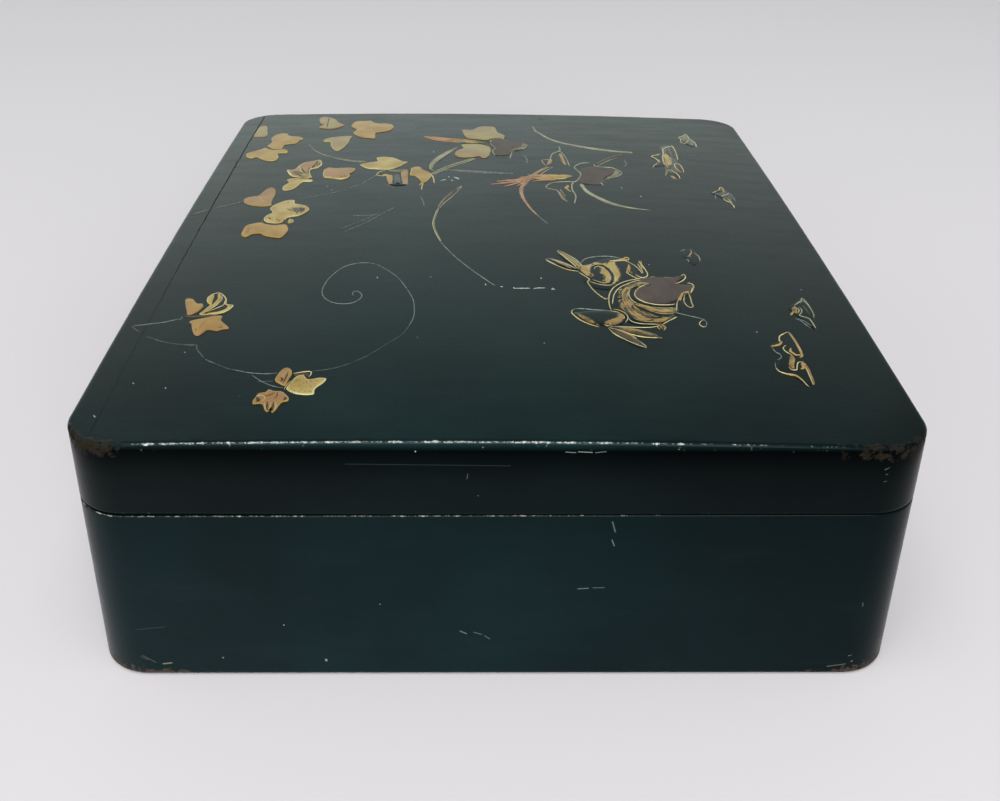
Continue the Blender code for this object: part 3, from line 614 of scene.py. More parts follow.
def trayShell():
    rim = boxShape["joint"] - boxShape["jointGap"] / 2
    lipInset = boxShape["wall"] - boxShape["lipThickness"]
    lipTop = rim + boxShape["lipHeight"]
    floor = 8 * mm
    form = roundedBlock(0.0, rim)
    mouth = max(form.faces, key=lambda face: face.calc_center_median().z)
    insetRings(form, mouth, (lipInset,))
    mouth = sunkFace(form, mouth, lipTop - rim)
    insetRings(form, mouth, (boxShape["lipThickness"],))
    sunkFace(form, mouth, floor - lipTop)
    bevelRing(form, 0.0, 1.5 * mm, 5)
    outer = lambda place: outlineDistance(place.x, place.y) < 0.5 * mm
    bevelRing(form, rim, 0.5 * mm, 3, outer)
    bevelRing(form, lipTop, 0.4 * mm, 2)
    bevelRing(form, floor, 0.4 * mm, 2)
    outerWall = lambda f: outlineDistance(*f.calc_center_median().xy) < 0.3 * mm
    cutAcross(form, (0, 0, 1), (2.3 * mm, 4 * mm, 8 * mm, 20 * mm, 40 * mm, rim - 8 * mm, rim - 3 * mm, rim - 1.3 * mm),
              outerWall)
    cutAcross(form, (1, 0, 0), evenly(-width / 2 + 12 * mm, width / 2 - 12 * mm, 24))
    cutAcross(form, (0, 1, 0), evenly(-depth / 2 + 12 * mm, depth / 2 - 12 * mm, 30))
    wear = form.verts.layers.float.new("wear")
    bare = form.verts.layers.float.new("bare")
    for v in form.verts:
        inside = outlineDistance(v.co.x, v.co.y)
        atCorner = smoothStep(0.6, 1.0, min(abs(v.co.x) / (width / 2), abs(v.co.y) / (depth / 2)))
        foot = v.co.z + max(0.0, inside - 1.5 * mm)
        upper = abs(rim - v.co.z) + max(0.0, inside)
        atFront = 1 - smoothStep(4 * mm, 20 * mm, v.co.y + depth / 2)
        # the pale line on the tray's rim is wear and painted highlight in one, strongest at the front left
        rubbed = 0.62 + 0.44 * atFront * (1 - smoothStep(10 * mm, 70 * mm, v.co.x))
        corner = atFront * max(1 - smoothStep(-118 * mm, -74 * mm, v.co.x), smoothStep(96 * mm, 122 * mm, v.co.x))
        v[wear] = max((0.38 + 0.22 * atCorner + 0.22 * corner) * (1 - smoothStep(0.8 * mm, (3 + 7 * atCorner) * mm, foot)),
                      rubbed * (1 - smoothStep(0.1 * mm, 0.8 * mm, upper)))
        v[bare] = (0.36 + 0.46 * max(corner, 0.5 * atCorner)) * (1 - smoothStep(0.8 * mm, (2.4 + 6 * atCorner) * mm, foot))
        if v.co.z > floor + mm:
            share = smoothStep(floor, rim, v.co.z)
            v.co.z += jointTilt(v.co.x) * (1 if v.co.z > rim - mm else share)
    piece = finishPiece("lacquered_tray", form, [trayLacquer])
    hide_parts("box_body")
    return piece


lidPiece = lidShell()
trayPiece = trayShell()
print("tray and lid modelled")


# The picture, modelled flat in millimetres and then laid on the crowned lid

reliefLook = {
    "leaf": 0.28,
    "leafStep": 0.06,
    "petal": 0.38,
    "seedHead": 0.28,
    "hare": 0.30,
    "ground": 0.12,
    "root": 0.6,         # how far a form reaches into the lid
    "rim": 0.35,         # the paler line round a leaf
    "lineRise": 0.4,     # a line's height as a share of its width
}


def curvePoint(before, start, end, after, share):
    place = []
    for p, q, r, s in zip(before, start, end, after):
        bend = 2 * p - 5 * q + 4 * r - s
        twist = 3 * (q - r) + s - p
        place.append(q + 0.5 * share * (r - p + share * (bend + share * twist)))
    return tuple(place)


def smoothPath(points, closed=False, spacing=0.8):
    if closed:
        ends = [points[-1], *points, points[0], points[1]]
    else:
        ends = [points[0], *points, points[-1]]
    path = []
    for index in range(len(ends) - 3):
        around = ends[index:index + 4]
        steps = max(2, round(math.dist(around[1], around[2]) / spacing))
        path += [curvePoint(*around, step / steps) for step in range(steps)]
    return path if closed else path + [tuple(points[-1])]


def spoked(centre, spokes):
    ends = []
    for direction, reach in spokes:
        angle = math.radians(direction)
        ends.append((centre[0] + reach * math.cos(angle), centre[1] + reach * math.sin(angle)))
    return smoothPath(ends, closed=True, spacing=0.9)


def widthAt(widths, share):
    place = share * (len(widths) - 1)
    first = min(len(widths) - 2, int(place))
    return widths[first] + (place - first) * (widths[first + 1] - widths[first])


def besidePath(path, index, aside):
    # a point at a distance to the left of a path
    before = path[max(0, index - 1)]
    after = path[min(len(path) - 1, index + 1)]
    runX, runY = after[0] - before[0], after[1] - before[1]
    run = math.hypot(runX, runY) or 1.0
    return (path[index][0] - aside * runY / run, path[index][1] + aside * runX / run)


def bladeEdges(through, widths):
    spine = smoothPath(through, spacing=2.0)
    edges = []
    for side in (0.5, -0.5):
        edges.append([besidePath(spine, index, side * widthAt(widths, index / (len(spine) - 1)))
                      for index in range(len(spine))])
    return edges


def brushed(seed, through, spread, count, runs, widths, kinds):
    # strokes of a half dry brush that follow a path, spread to both sides of it
    chance = random.Random(seed)
    spine = smoothPath(through, spacing=1.0)
    strokes = []
    for _ in range(count):
        steps = max(3, round(chance.uniform(*runs)))
        start = chance.randint(0, max(0, len(spine) - 1 - steps))
        aside = chance.uniform(-1, 1)
        drift = chance.uniform(-0.35, 0.35)
        points = []
        for index in range(start, min(len(spine), start + steps + 1), 2):
            room = widthAt(spread, index / (len(spine) - 1))
            points.append(besidePath(spine, index, room * (aside + drift * (index - start) / steps)))
        if len(points) > 1:
            strokes.append((chance.choice(kinds), chance.uniform(*widths), tuple(points)))
    return tuple(strokes)


def fringe(seed, through, reach, count, kinds):
    # short fine strokes like fur, all to one side of a path
    chance = random.Random(seed)
    spine = smoothPath(through, spacing=0.7)
    strokes = []
    for _ in range(count):
        index = chance.randint(0, len(spine) - 2)
        far = reach * chance.uniform(0.4, 1.0)
        foot = besidePath(spine, index, -0.3 * math.copysign(1, reach))
        ahead = min(len(spine) - 1, index + chance.randint(0, 2))
        strokes.append((chance.choice(kinds), chance.uniform(0.22, 0.42), (foot, besidePath(spine, ahead, far))))
    return tuple(strokes)


reliefVerts = []
reliefFaces = []


def remember(form):
    # keeps a form of the relief, so that lines and patches can be laid over it
    start = len(reliefVerts)
    form.verts.index_update()
    reliefVerts.extend(v.co.copy() for v in form.verts)
    reliefFaces.extend([start + v.index for v in f.verts] for f in form.faces)


def layOnLid(form, nearer):
    # what stands up looks farther off than it is, so the drawing is set a little nearer
    for v in form.verts:
        away = Vector((v.co.x + 8.5, v.co.y + 488.5)).normalized() * nearer
        x = (v.co.x - away.x) * mm
        y = (v.co.y - away.y) * mm
        v.co = Vector((x, y, boxShape["edgeHeight"] + crown(x, y) + v.co.z * mm))


def pictureForm():
    form = bmesh.new()
    form.verts.layers.float.new("cover")
    return form


def joinInto(target, piece, cover=1.0):
    # adds a finished small form to the piece that it belongs to
    layer = piece.verts.layers.float.get("cover")
    if layer is None:
        layer = piece.verts.layers.float.new("cover")
        for v in piece.verts:
            v[layer] = cover
    bmesh.ops.recalc_face_normals(piece, faces=piece.faces)
    mesh = bpy.data.meshes.new("part")
    piece.to_mesh(mesh)
    piece.free()
    target.from_mesh(mesh)
    bpy.data.meshes.remove(mesh)


def addPlate(target, outline, height, fillSlot, rimSlot, rimWidth=None, root=None):
    rimWidth = reliefLook["rim"] if rimWidth is None else rimWidth
    form = bmesh.new()
    low = -(reliefLook["root"] if root is None else root)
    face = form.faces.new([form.verts.new((x, y, low)) for x, y in outline])
    if face.normal.z < 0 or sum(a[0] * b[1] - b[0] * a[1] for a, b in zip(outline, outline[1:] + outline[:1])) < 0:
        face.normal_flip()
    face = sunkFace(form, face, 0.55 * height - low)
    bmesh.ops.inset_region(form, faces=[face], thickness=0.18, use_even_offset=True)
    bmesh.ops.translate(form, vec=(0, 0, 0.40 * height), verts=face.verts)
    before = set(form.faces)
    bmesh.ops.inset_region(form, faces=[face], thickness=rimWidth, use_even_offset=True)
    rim = set(form.faces) - before
    bmesh.ops.translate(form, vec=(0, 0, 0.05 * height), verts=face.verts)
    for f in form.faces:
        f.material_index = rimSlot
    face.material_index = fillSlot
    for f in rim:
        f.material_index = rimSlot
    # close the underside
    open_ = [e for e in form.edges if e.is_boundary]
    if open_:
        bmesh.ops.holes_fill(form, edges=open_)
    remember(form)
    joinInto(target, form)


def addDome(target, centre, halfLength, halfWidth, turn, taper, height, slot):
    form = bmesh.new()
    bmesh.ops.create_uvsphere(form, u_segments=40, v_segments=18, radius=1)
    for v in form.verts:
        flat = min(1.0, math.hypot(v.co.x, v.co.y))
        rise = math.sqrt(max(0.0, 1 - flat ** 4))
        v.co.y *= 1 + taper * v.co.x
        v.co.z = rise * height if v.co.z > 0 else -rise * reliefLook["root"]
    bmesh.ops.scale(form, vec=(halfLength, halfWidth, 1), verts=form.verts)
    bmesh.ops.rotate(form, cent=(0, 0, 0), matrix=Matrix.Rotation(math.radians(turn), 3, "Z"), verts=form.verts)
    bmesh.ops.translate(form, vec=(*centre, 0), verts=form.verts)
    for f in form.faces:
        f.material_index = slot
    remember(form)
    joinInto(target, form)


def nearestOnOutline(outline, x, y):
    best = 1e9
    for (ax, ay), (bx, by) in zip(outline, outline[1:] + outline[:1]):
        runX, runY = bx - ax, by - ay
        length = runX * runX + runY * runY
        share = 0 if length == 0 else max(0, min(1, ((x - ax) * runX + (y - ay) * runY) / length))
        best = min(best, math.hypot(x - ax - share * runX, y - ay - share * runY))
    return best


def sheetHeight(tree, x, y):
    if tree is None:
        return 0.0
    hit = tree.ray_cast(Vector((x, y, 10)), Vector((0, 0, -1)))[0]
    return max(0.0, hit.z) if hit else 0.0


def addPatch(target, tree, points, slot, soft=1.2, lift=0.03, most=1.0, grid=1.0):
    # a thin skin of powder over the relief, with an edge that fades over soft millimetres
    outline = smoothPath(points, closed=True, spacing=0.9)
    form = bmesh.new()
    form.faces.new([form.verts.new((x, y, 0)) for x, y in outline])
    low = [min(p[axis] for p in outline) for axis in (0, 1)]
    high = [max(p[axis] for p in outline) for axis in (0, 1)]
    for axis, normal in enumerate(((1, 0, 0), (0, 1, 0))):
        count = max(2, round((high[axis] - low[axis]) / grid))
        for place in evenly(low[axis], high[axis], count):
            bmesh.ops.bisect_plane(form, geom=[*form.verts, *form.edges, *form.faces], dist=1e-4,
                                   plane_co=Vector(normal) * place, plane_no=normal)
    cover = form.verts.layers.float.new("cover")
    for v in form.verts:
        v[cover] = most * min(1.0, nearestOnOutline(outline, v.co.x, v.co.y) / soft)
        v.co.z = sheetHeight(tree, v.co.x, v.co.y) + lift
    if form.faces and sum(f.normal.z for f in form.faces) < 0:
        bmesh.ops.reverse_faces(form, faces=form.faces)
    lower = bmesh.ops.extrude_face_region(form, geom=form.faces[:])
    for v in (g for g in lower["geom"] if isinstance(g, bmesh.types.BMVert)):
        v.co.z -= 0.12
    for f in form.faces:
        f.material_index = slot
    joinInto(target, form)


def addLines(target, tree, strokes, slot, rise=None):
    # lines drawn with the brush: tubes of the line's width, flattened on to the surface below them
    rise = reliefLook["lineRise"] if rise is None else rise
    curve = bpy.data.curves.new("strokes", "CURVE")
    curve.dimensions = "3D"
    curve.bevel_depth = 0.5
    curve.bevel_resolution = 1
    curve.use_fill_caps = True
    for lineWidth, points in strokes:
        path = smoothPath(points, spacing=0.8)
        spline = curve.splines.new("POLY")
        spline.points.add(len(path) - 1)
        for index, (x, y) in enumerate(path):
            spline.points[index].co = (x, y, 0, 1)
            if isinstance(lineWidth, tuple):
                across = widthAt(lineWidth, index / (len(path) - 1))
            else:
                across = lineWidth * (0.35 + 0.65 * min(1, min(index, len(path) - 1 - index) / 3))
            wobble = 1 + 0.22 * noise.noise(Vector((x * 0.7, y * 0.7, 5.0)))
            spline.points[index].radius = across * wobble
    guide = bpy.data.objects.new("strokes", curve)
    bpy.context.scene.collection.objects.link(guide)
    bpy.context.view_layer.update()
    mesh = bpy.data.meshes.new_from_object(guide.evaluated_get(bpy.context.evaluated_depsgraph_get()))
    bpy.data.objects.remove(guide)
    form = bmesh.new()
    form.from_mesh(mesh)
    bpy.data.meshes.remove(mesh)
    bmesh.ops.remove_doubles(form, verts=form.verts, dist=1e-4)
    for v in form.verts:
        swell = 2 * rise * v.co.z
        swell = 0.4 * (1 - math.exp(-swell / 0.4)) if swell > 0 else 0.5 * swell
        v.co.z = sheetHeight(tree, v.co.x, v.co.y) + swell
    for f in form.faces:
        f.material_index = slot
    joinInto(target, form)


tones = list(pictureMaterials)
slotOf = {tone: index for index, tone in enumerate(tones)}


def finishPicture(name, form, nearer):
    layOnLid(form, nearer)
    used = sorted({f.material_index for f in form.faces})
    for f in form.faces:
        f.material_index = used.index(f.material_index)
    return finishPiece(name, form, [pictureMaterials[tones[index]] for index in used])


# Ivy leaves: fill tone, rim tone, rim width and outline
leaves = (
    ("petal", "petal", 0.3, ((-125, 133.6), (-125.2, 144.7), (-125.1, 151.3), (-124, 154.3), (-121.7, 154.7),
                               (-120.4, 150.2), (-119.4, 143.6), (-118.3, 134.7), (-121.7, 133.2))),
    ("petal", "orange", 0.3, ((-94.2, 168), (-93.6, 171), (-91.4, 171.9), (-87.8, 169.7), (-85, 165.8),
                               (-82.8, 159.7), (-80, 155.8), (-79, 154), (-80.8, 151.3), (-82.8, 148.6),
                               (-86.1, 147.4), (-89.4, 147.7), (-92.4, 149.7), (-92.2, 152.4), (-91, 154.9),
                               (-92.6, 158.4), (-93.7, 162.6))),
    ("ochre", "ochre", 0.35, ((-75.3, 153), (-75, 156.9), (-73.9, 160.8), (-71.1, 162.4), (-68.3, 162.2),
                              (-65.8, 163), (-64.7, 161.3), (-63.3, 158.6), (-60.6, 156.8), (-57.2, 156.9),
                              (-54.4, 155.8), (-53, 153.6), (-52.2, 150.2), (-53.3, 145.2), (-56.1, 141.9),
                              (-59.4, 140.2), (-61.1, 139.1), (-61.1, 134.7), (-60.8, 129.6), (-61.5, 128.2),
                              (-63.9, 129.4), (-68.3, 130.8), (-71.7, 135.2), (-73.1, 139.1), (-71.9, 144.7),
                              (-73.1, 147.4), (-74.7, 150.2))),
    ("petal", "yellow", 0.35, ((-87.2, 123.6), (-86.9, 126.3), (-85, 129.1), (-82.2, 130.8), (-78.3, 132.2),
                              (-73.3, 132.4), (-73.6, 128), (-73.9, 122.4), (-74.4, 118), (-76.1, 110.2),
                              (-78.3, 105.8), (-80.8, 109.7), (-82.5, 115.8), (-83.1, 120.2), (-83.9, 122.4),
                              (-85.8, 122.2))),
    ("ochre", "yellow", 0.35, ((-115, 129.1), (-114.7, 132.4), (-113.3, 136.9), (-111.1, 138.6), (-108.3, 138.6),
                               (-106.7, 134.7), (-103.9, 133), (-100.6, 131.9), (-98.3, 128), (-100, 124.7),
                               (-101.1, 120.4), (-104.4, 119.1), (-106.5, 117.4), (-106.9, 114.1),
                               (-107.2, 110.4), (-111.1, 110.4), (-114.2, 113.6), (-115, 116.3),
                               (-113.9, 122.4))),
    ("ochre", "yellow", 0.35, ((-123.5, 100.4), (-122.3, 96.5), (-119.6, 95), (-117.7, 97.1), (-115, 93.5),
                               (-111.2, 90.4), (-107.7, 90.4), (-106.5, 94.2), (-106.9, 98.1), (-107.7, 101.9),
                               (-105.4, 103.3), (-103.5, 102.9), (-103.3, 105.8), (-104.7, 108.7),
                               (-107.2, 108.7), (-111.1, 108.3), (-113.9, 110.4), (-115.8, 112.5),
                               (-117.2, 109.7), (-121.1, 105.8), (-123.3, 103))),
    ("orange", "pale", 0.45, ((-85.4, 90.8), (-88.8, 88.5), (-91.9, 86.9), (-94.2, 82.7), (-95, 78.1),
                              (-96.5, 75), (-99.3, 75), (-98.5, 71.2), (-96.5, 66.5), (-93.5, 63.7),
                              (-88.8, 62.6), (-86.2, 63.5), (-87.3, 68.1), (-88.1, 73.4), (-87.3, 76.5),
                              (-85, 78.1), (-83.5, 81.9), (-83.8, 86.5))),
    ("yellow", "pale", 0.35, ((-97.3, 59.6), (-95.8, 61.5), (-91.9, 61.9), (-88.1, 61.4), (-85, 58.8),
                              (-85.8, 57.3), (-88.8, 57.1), (-90, 55), (-91.2, 50.4), (-93.1, 46.2),
                              (-96.5, 44.6), (-97.7, 47.3), (-97.5, 51.2), (-95.8, 55.8), (-96.7, 58.1))),
    ("orange", "yellow", 0.35, ((-81.5, 71.9), (-81.2, 75), (-79.2, 77.7), (-76.5, 76.5), (-73.5, 76.9),
                                (-68.8, 77.3), (-66.5, 75.8), (-66.9, 71.9), (-68.6, 68.8), (-68.1, 64.2),
                                (-70, 60.8), (-73.5, 61.2), (-77.3, 63.1), (-80.4, 64.2), (-81.2, 68.1))),
    ("orange", "ochre", 0.35, ((-113, 31.8), (-112.3, 34.6), (-110.4, 36.3), (-107.5, 37.4), (-106.5, 40.4), (-105.4, 45),
                               (-103.8, 48.5), (-102.3, 48.5), (-100.8, 45.8), (-100, 40.4), (-100, 34.2),
                               (-100, 28.1), (-99.4, 24.8), (-100.4, 24), (-104.2, 23.5), (-108.8, 25),
                               (-111.8, 28))),
    ("yellow", "pale", 0.35, ((-93.5, 30.4), (-90, 30.8), (-89.2, 26.5), (-85, 24.2), (-82.7, 21.5),
                              (-81.8, 18.5), (-83.5, 13.5), (-85.8, 10.8), (-88.8, 9.6), (-90.4, 7.7),
                              (-91.3, 3.3), (-94.2, 1.8), (-97.3, 2.7), (-99.4, 4.8), (-100.2, 7.6),
                              (-99.6, 11.2), (-97.5, 15), (-99.2, 19.6), (-98.8, 23.5), (-96.5, 27.3))),
    ("ochre", "ochre", 0.35, ((-106.9, -5.8), (-106.5, -1.2), (-104.2, 1.2), (-100.8, 2.5), (-98.1, 0.5),
                              (-94.2, -0.8), (-89.9, 0), (-88.5, -2.7), (-87.7, -6.5), (-88.5, -11.9),
                              (-89.6, -14.6), (-91.9, -14.8), (-96.5, -12.7), (-99.2, -10), (-101.9, -10.2),
                              (-104.2, -13.5), (-106.2, -12.7), (-106.9, -9.6))),
    ("yellow", "pale", 0.4, ((-57.3, 93.6), (-54.4, 95.2), (-50.7, 94.5), (-48.5, 93.2), (-46.2, 90.5),
                             (-43.9, 87.7), (-41.6, 86.8), (-43.5, 83.2), (-45.3, 79.5), (-48.9, 75.8),
                             (-51.6, 75), (-56.2, 75.5), (-60.7, 76.8), (-63.9, 80.5), (-64.4, 83.2),
                             (-60.7, 85.9), (-57.4, 87.3), (-56.4, 89.2))),
    ("ochre", "yellow", 0.4, ((-39.2, 76.8), (-36.6, 79.1), (-34.8, 77.7), (-33.9, 75), (-30.7, 70.5),
                              (-28.9, 66.8), (-29.4, 63.2), (-31.2, 56.6), (-33.3, 56), (-35.3, 61.4),
                              (-37.6, 65.6), (-39.4, 66.1), (-39.4, 72.3))),
    ("ochre", "orange", 0.35, ((-116.5, -76), (-115, -75.5), (-113.5, -76.2), (-112, -79), (-111, -80),
                               (-109.5, -80), (-108.7, -82.5), (-109.4, -85.5), (-110.5, -87.5), (-112, -89),
                               (-113.2, -89), (-114, -86), (-115.5, -81))),
    ("black", "pale", 0.45, ((-105.2, -70), (-107.8, -72.3), (-108.6, -75), (-107.9, -78.3), (-106.4, -80.6),
                             (-107.6, -84.6), (-108.9, -88.6), (-107.6, -89.3), (-104, -89.3), (-100.2, -87.5),
                             (-98.4, -84.7), (-97.6, -81.8), (-98.6, -80.9), (-100.5, -80.2), (-101, -76.5),
                             (-102.5, -73))),
    ("ochre", "orange", 0.35, ((-111, -94.5), (-105, -91.4), (-103.5, -90.6), (-100.2, -90.6), (-100, -94),
                               (-98.5, -96.5), (-96, -100.5), (-98, -101.2), (-100, -102.5), (-103.3, -101.5),
                               (-104.5, -104), (-106, -106.2), (-107.5, -105), (-109, -101), (-110, -97))),
    ("orange", "ochre", 0.35, ((-71, -130.8), (-69.6, -132), (-69, -135), (-69.5, -138), (-70.2, -142.6),
                               (-72, -141.6), (-74, -139), (-73.5, -135), (-72.5, -131.7))),
    ("yellow", "pale", 0.4, ((-67, -136.2), (-65, -135.9), (-63.6, -138.3), (-62, -138.5), (-59.5, -137.6),
                             (-57.2, -138.2), (-57.9, -141), (-60, -144.5), (-60.2, -147), (-60.3, -148.4),
                             (-63.5, -148.7), (-67, -147.5), (-69.4, -145), (-69.2, -142.5), (-68.4, -139.5))),
    ("orange", "ochre", 0.35, ((-75, -145.2), (-73.5, -146.2), (-71, -146.5), (-69.5, -148), (-68, -150.5),
                               (-67.9, -152.5), (-69.5, -153.2), (-70.2, -154.8), (-71, -158.2), (-72, -159.8),
                               (-72.7, -158), (-73.3, -159.2), (-74.5, -158.2), (-75.5, -155), (-76.7, -154),
                               (-78.8, -154.3), (-79.1, -152.3), (-78.5, -149.5), (-78, -147.7), (-76, -147))),
)
petals = (
    ("petal", "petal", ((-15.3, 143.8), (-14.8, 139.5), (-13.5, 131.4), (-11.6, 128.6), (-5.3, 126.8),
                         (-1.6, 126.4), (0.2, 128.2), (2.9, 129.6), (6.4, 128.6), (7.1, 131), (7.2, 134.4),
                         (5.2, 137.8), (3.6, 141.1), (2.8, 147), (2.2, 150.4), (0.2, 151.5), (-4.4, 151.4),
                         (-7.1, 149.5), (-8.9, 146), (-10.4, 144.5), (-13.5, 144.7))),
    ("petal", "petal", ((-15.3, 114.4), (-14.9, 116.6), (-11.6, 117.6), (-6.2, 117.3), (-2.5, 115),
                         (-0.5, 111.4), (-0.4, 105.9), (-1.3, 98), (-3, 94.3), (-5.1, 94.7), (-6.2, 97),
                         (-9.8, 95.5), (-14.4, 95), (-17.8, 97), (-18.4, 102.3), (-17.1, 106.4),
                         (-14.6, 109.3), (-14.4, 111.8))),
)
seedHeads = (
    ((-19, 125), 15, 2.6, -19, -0.5),
    ((25, 64), 12.5, 3.4, 9, -0.1),
)
# Grass: fill tone, widths along the blade, whether its edges are drawn, and its spine
blades = (
    ("silver", (1.2, 2.2, 2.6, 2.6, 1.6, 0.3), True, ((-29.6, 77), (-29.6, 82), (-27.6, 90), (-23.4, 100),
                                                      (-19, 109), (-17.4, 112))),
    ("olive", (1.8, 2.4, 2.6, 2.2, 1.0), True, ((-28.8, 67.6), (-24, 75), (-19, 81.6), (-14, 87), (-8.2, 93.4))),
    ("vineFaint", (0.6, 2.6, 3.6, 3.6, 2.4, 0.6), False, ((-26, 74.4), (-18, 73.6), (-8, 71.6), (2, 70),
                                                         (10.4, 69.8))),
    ("silver", (0.5, 1.0, 1.4, 2.4, 3.0, 3.0, 2.2), False, ((23.1, 153.3), (23.9, 145.6), (26.1, 140), (30, 131.1),
                                                         (34.4, 125), (40, 120.2), (46.7, 116.2), (55.6, 112),
                                                         (64.4, 109.2), (72.2, 107.8))),
    ("silver", (1.2, 1.8, 2.3, 2.6, 2.4, 1.6, 0.4), False, ((42.2, 55), (42.8, 48.9), (44.4, 43.3), (47.8, 36.9),
                                                         (51.4, 31.6), (56, 26.9), (62.2, 23.5), (70, 21.2))),
    ("umber", (0.6, 2.4, 3.4, 3.0, 1.4), False, ((51.4, 84), (54.4, 90), (58.4, 95.8), (62.6, 100.4), (67, 104.6))),
    ("umber", (0.3, 1.4, 2.4, 2.4, 1.6, 0.8), True, ((-14.4, 50.4), (-16.2, 45.4), (-18.4, 39.6), (-20.6, 33.6),
                                                      (-23, 26.4), (-24.4, 20))),
)
frontHare = (
    ((56, -78), 21.0, 14.0, 80, 0.05),
    ((37, -92), 10.0, 6.2, 168, -0.45),
    ((50, -104), 9.4, 2.4, -28, 0.0),
    ((46, -108.5), 9.0, 2.2, -57, 0.0),
)
backHare = (
    ((45, -52), 16.6, 10.2, 72, -0.1),
    ((40.5, -53), 9.6, 5.4, 95, -0.1),
    ((30.2, -39.6), 9.6, 2.0, 117, 0.0),
    ((26.6, -43.6), 8.0, 2.0, 140, 0.0),
)
groundTufts = (
    ((89, 95), ((31, 5.8), (67, 14), (80, 26.5), (92, 18), (105, 9), (128, 11.4), (150, 9.4), (180, 5.5),
                (216, 8.6), (231, 14), (256, 10), (272, 27), (288, 15.5), (309, 6.4))),
    ((103.5, 132), ((35, 4), (63, 5.6), (82, 11), (110, 7.4), (180, 3.5), (249, 4.3), (280, 11), (315, 5.7))),
    ((107.5, 43), ((49, 5.3), (86, 13), (110, 7.4), (144, 6.8), (180, 3.5), (263, 4.5), (280, 15.2),
                   (309, 6.4))),
    ((80, -33), ((0, 3), (80, 9), (120, 5), (180, 3), (240, 4), (270, 9), (300, 5))),
    ((114.5, -82), ((53, 5), (80, 11.2), (116, 5.6), (158, 5.4), (220, 5), (255, 8), (274, 15.5), (305, 6),
                    (350, 3.8))),
    ((101.5, -120), ((14, 4.2), (66, 11), (82, 19.6), (95, 12), (124, 9.7), (164, 4), (204, 5), (232, 11.4),
                     (255, 13), (275, 20), (294, 11), (315, 5))),
)
leadSheets = (
    ("back_petal_inlay", (5, 112), ((20, 15), (48, 13.5), (77, 13.5), (93, 17), (119, 12.5), (149, 6),
                                    (198, 3.5), (235, 9), (258, 14.3), (285, 13.5), (310, 8), (355, 12)), 0.2),
    ("front_petal_inlay", (50, 69), ((24, 12), (54, 13.6), (90, 13), (124, 10.8), (159, 8.5), (207, 9),
                                     (238, 15.3), (270, 15), (285, 12), (300, 6.5), (351, 6)), 0.2),
    ("hare_flank_inlay", (64, -67), ((20, 13), (42, 8), (54, 16.5), (68, 12.5), (105, 12), (132, 11.5),
                                     (174, 9.5), (205, 12.5), (230, 14.5), (262, 13.5), (300, 9.5),
                                     (345, 10)), 0.51),
)

ivyForm = pictureForm()
for index, (fill, rim, rimWidth, outline) in enumerate(leaves):
    height = reliefLook["leaf"] + reliefLook["leafStep"] * (index % 3)
    addPlate(ivyForm, smoothPath(outline, closed=True), height, slotOf[fill], slotOf[rim], rimWidth)

flowerForm = pictureForm()
for index, (fill, rim, outline) in enumerate(petals):
    height = reliefLook["petal"] + reliefLook["leafStep"] * (index % 2)
    addPlate(flowerForm, smoothPath(outline, closed=True), height, slotOf[fill], slotOf[rim], 0.4)
for centre, *shape in seedHeads:
    addDome(flowerForm, centre, *shape, reliefLook["seedHead"], slotOf["umber"])

grassForm = pictureForm()
for tone, widths, edged, through in blades:
    addLines(grassForm, None, [(widths, through)], slotOf[tone], 0.09)
    if edged:
        addLines(grassForm, None, [(0.45, side) for side in bladeEdges(through, widths)], slotOf["silver"], 0.7)

hareForm = pictureForm()
for index, (centre, *shape) in enumerate(backHare):
    addDome(hareForm, centre, *shape, reliefLook["hare"] - 0.08, slotOf["black"])
for index, (centre, *shape) in enumerate(frontHare):
    addDome(hareForm, centre, *shape, reliefLook["hare"] - 0.02 * index, slotOf["black"])

tuftForm = pictureForm()
for centre, spokes in groundTufts:
    addPlate(tuftForm, spoked(centre, spokes), reliefLook["ground"], slotOf["black"], slotOf["black"], 0.25)

reliefTree = BVHTree.FromPolygons(reliefVerts, reliefFaces)


def leadSheet(node, centre, spokes, height):
    outline = spoked(centre, spokes)
    form = pictureForm()
    face = form.faces.new([form.verts.new((x, y, -0.45)) for x, y in outline])
    if face.normal.z < 0:
        face.normal_flip()
    face = sunkFace(form, face, 0.45)
    bmesh.ops.inset_region(form, faces=[face], thickness=0.25, use_even_offset=True)
    bmesh.ops.translate(form, vec=(0, 0, 0.12), verts=face.verts)
    bmesh.ops.inset_region(form, faces=[face], thickness=0.8, use_even_offset=True)
    bmesh.ops.holes_fill(form, edges=[e for e in form.edges if e.is_boundary])
    low = [min(p[axis] for p in outline) for axis in (0, 1)]
    high = [max(p[axis] for p in outline) for axis in (0, 1)]
    for axis, normal in enumerate(((1, 0, 0), (0, 1, 0))):
        for place in evenly(low[axis], high[axis], 12):
            bmesh.ops.bisect_plane(form, geom=[*form.verts, *form.edges, *form.faces], dist=1e-4,
                                   plane_co=Vector(normal) * place, plane_no=normal)
    for v in form.verts:
        below = sheetHeight(reliefTree, v.co.x, v.co.y) if height > 0.5 else 0.0
        v.co.z += max(height - 0.12, below)
    remember(form)
    layOnLid(form, 0.9)
    piece = finishPiece(node.replace("_inlay", "_lead"), form, [leadSkin])
    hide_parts(node)
    return piece


leadPieces = [leadSheet(*sheet) for sheet in leadSheets]
reliefTree = BVHTree.FromPolygons(reliefVerts, reliefFaces)
print("relief modelled")

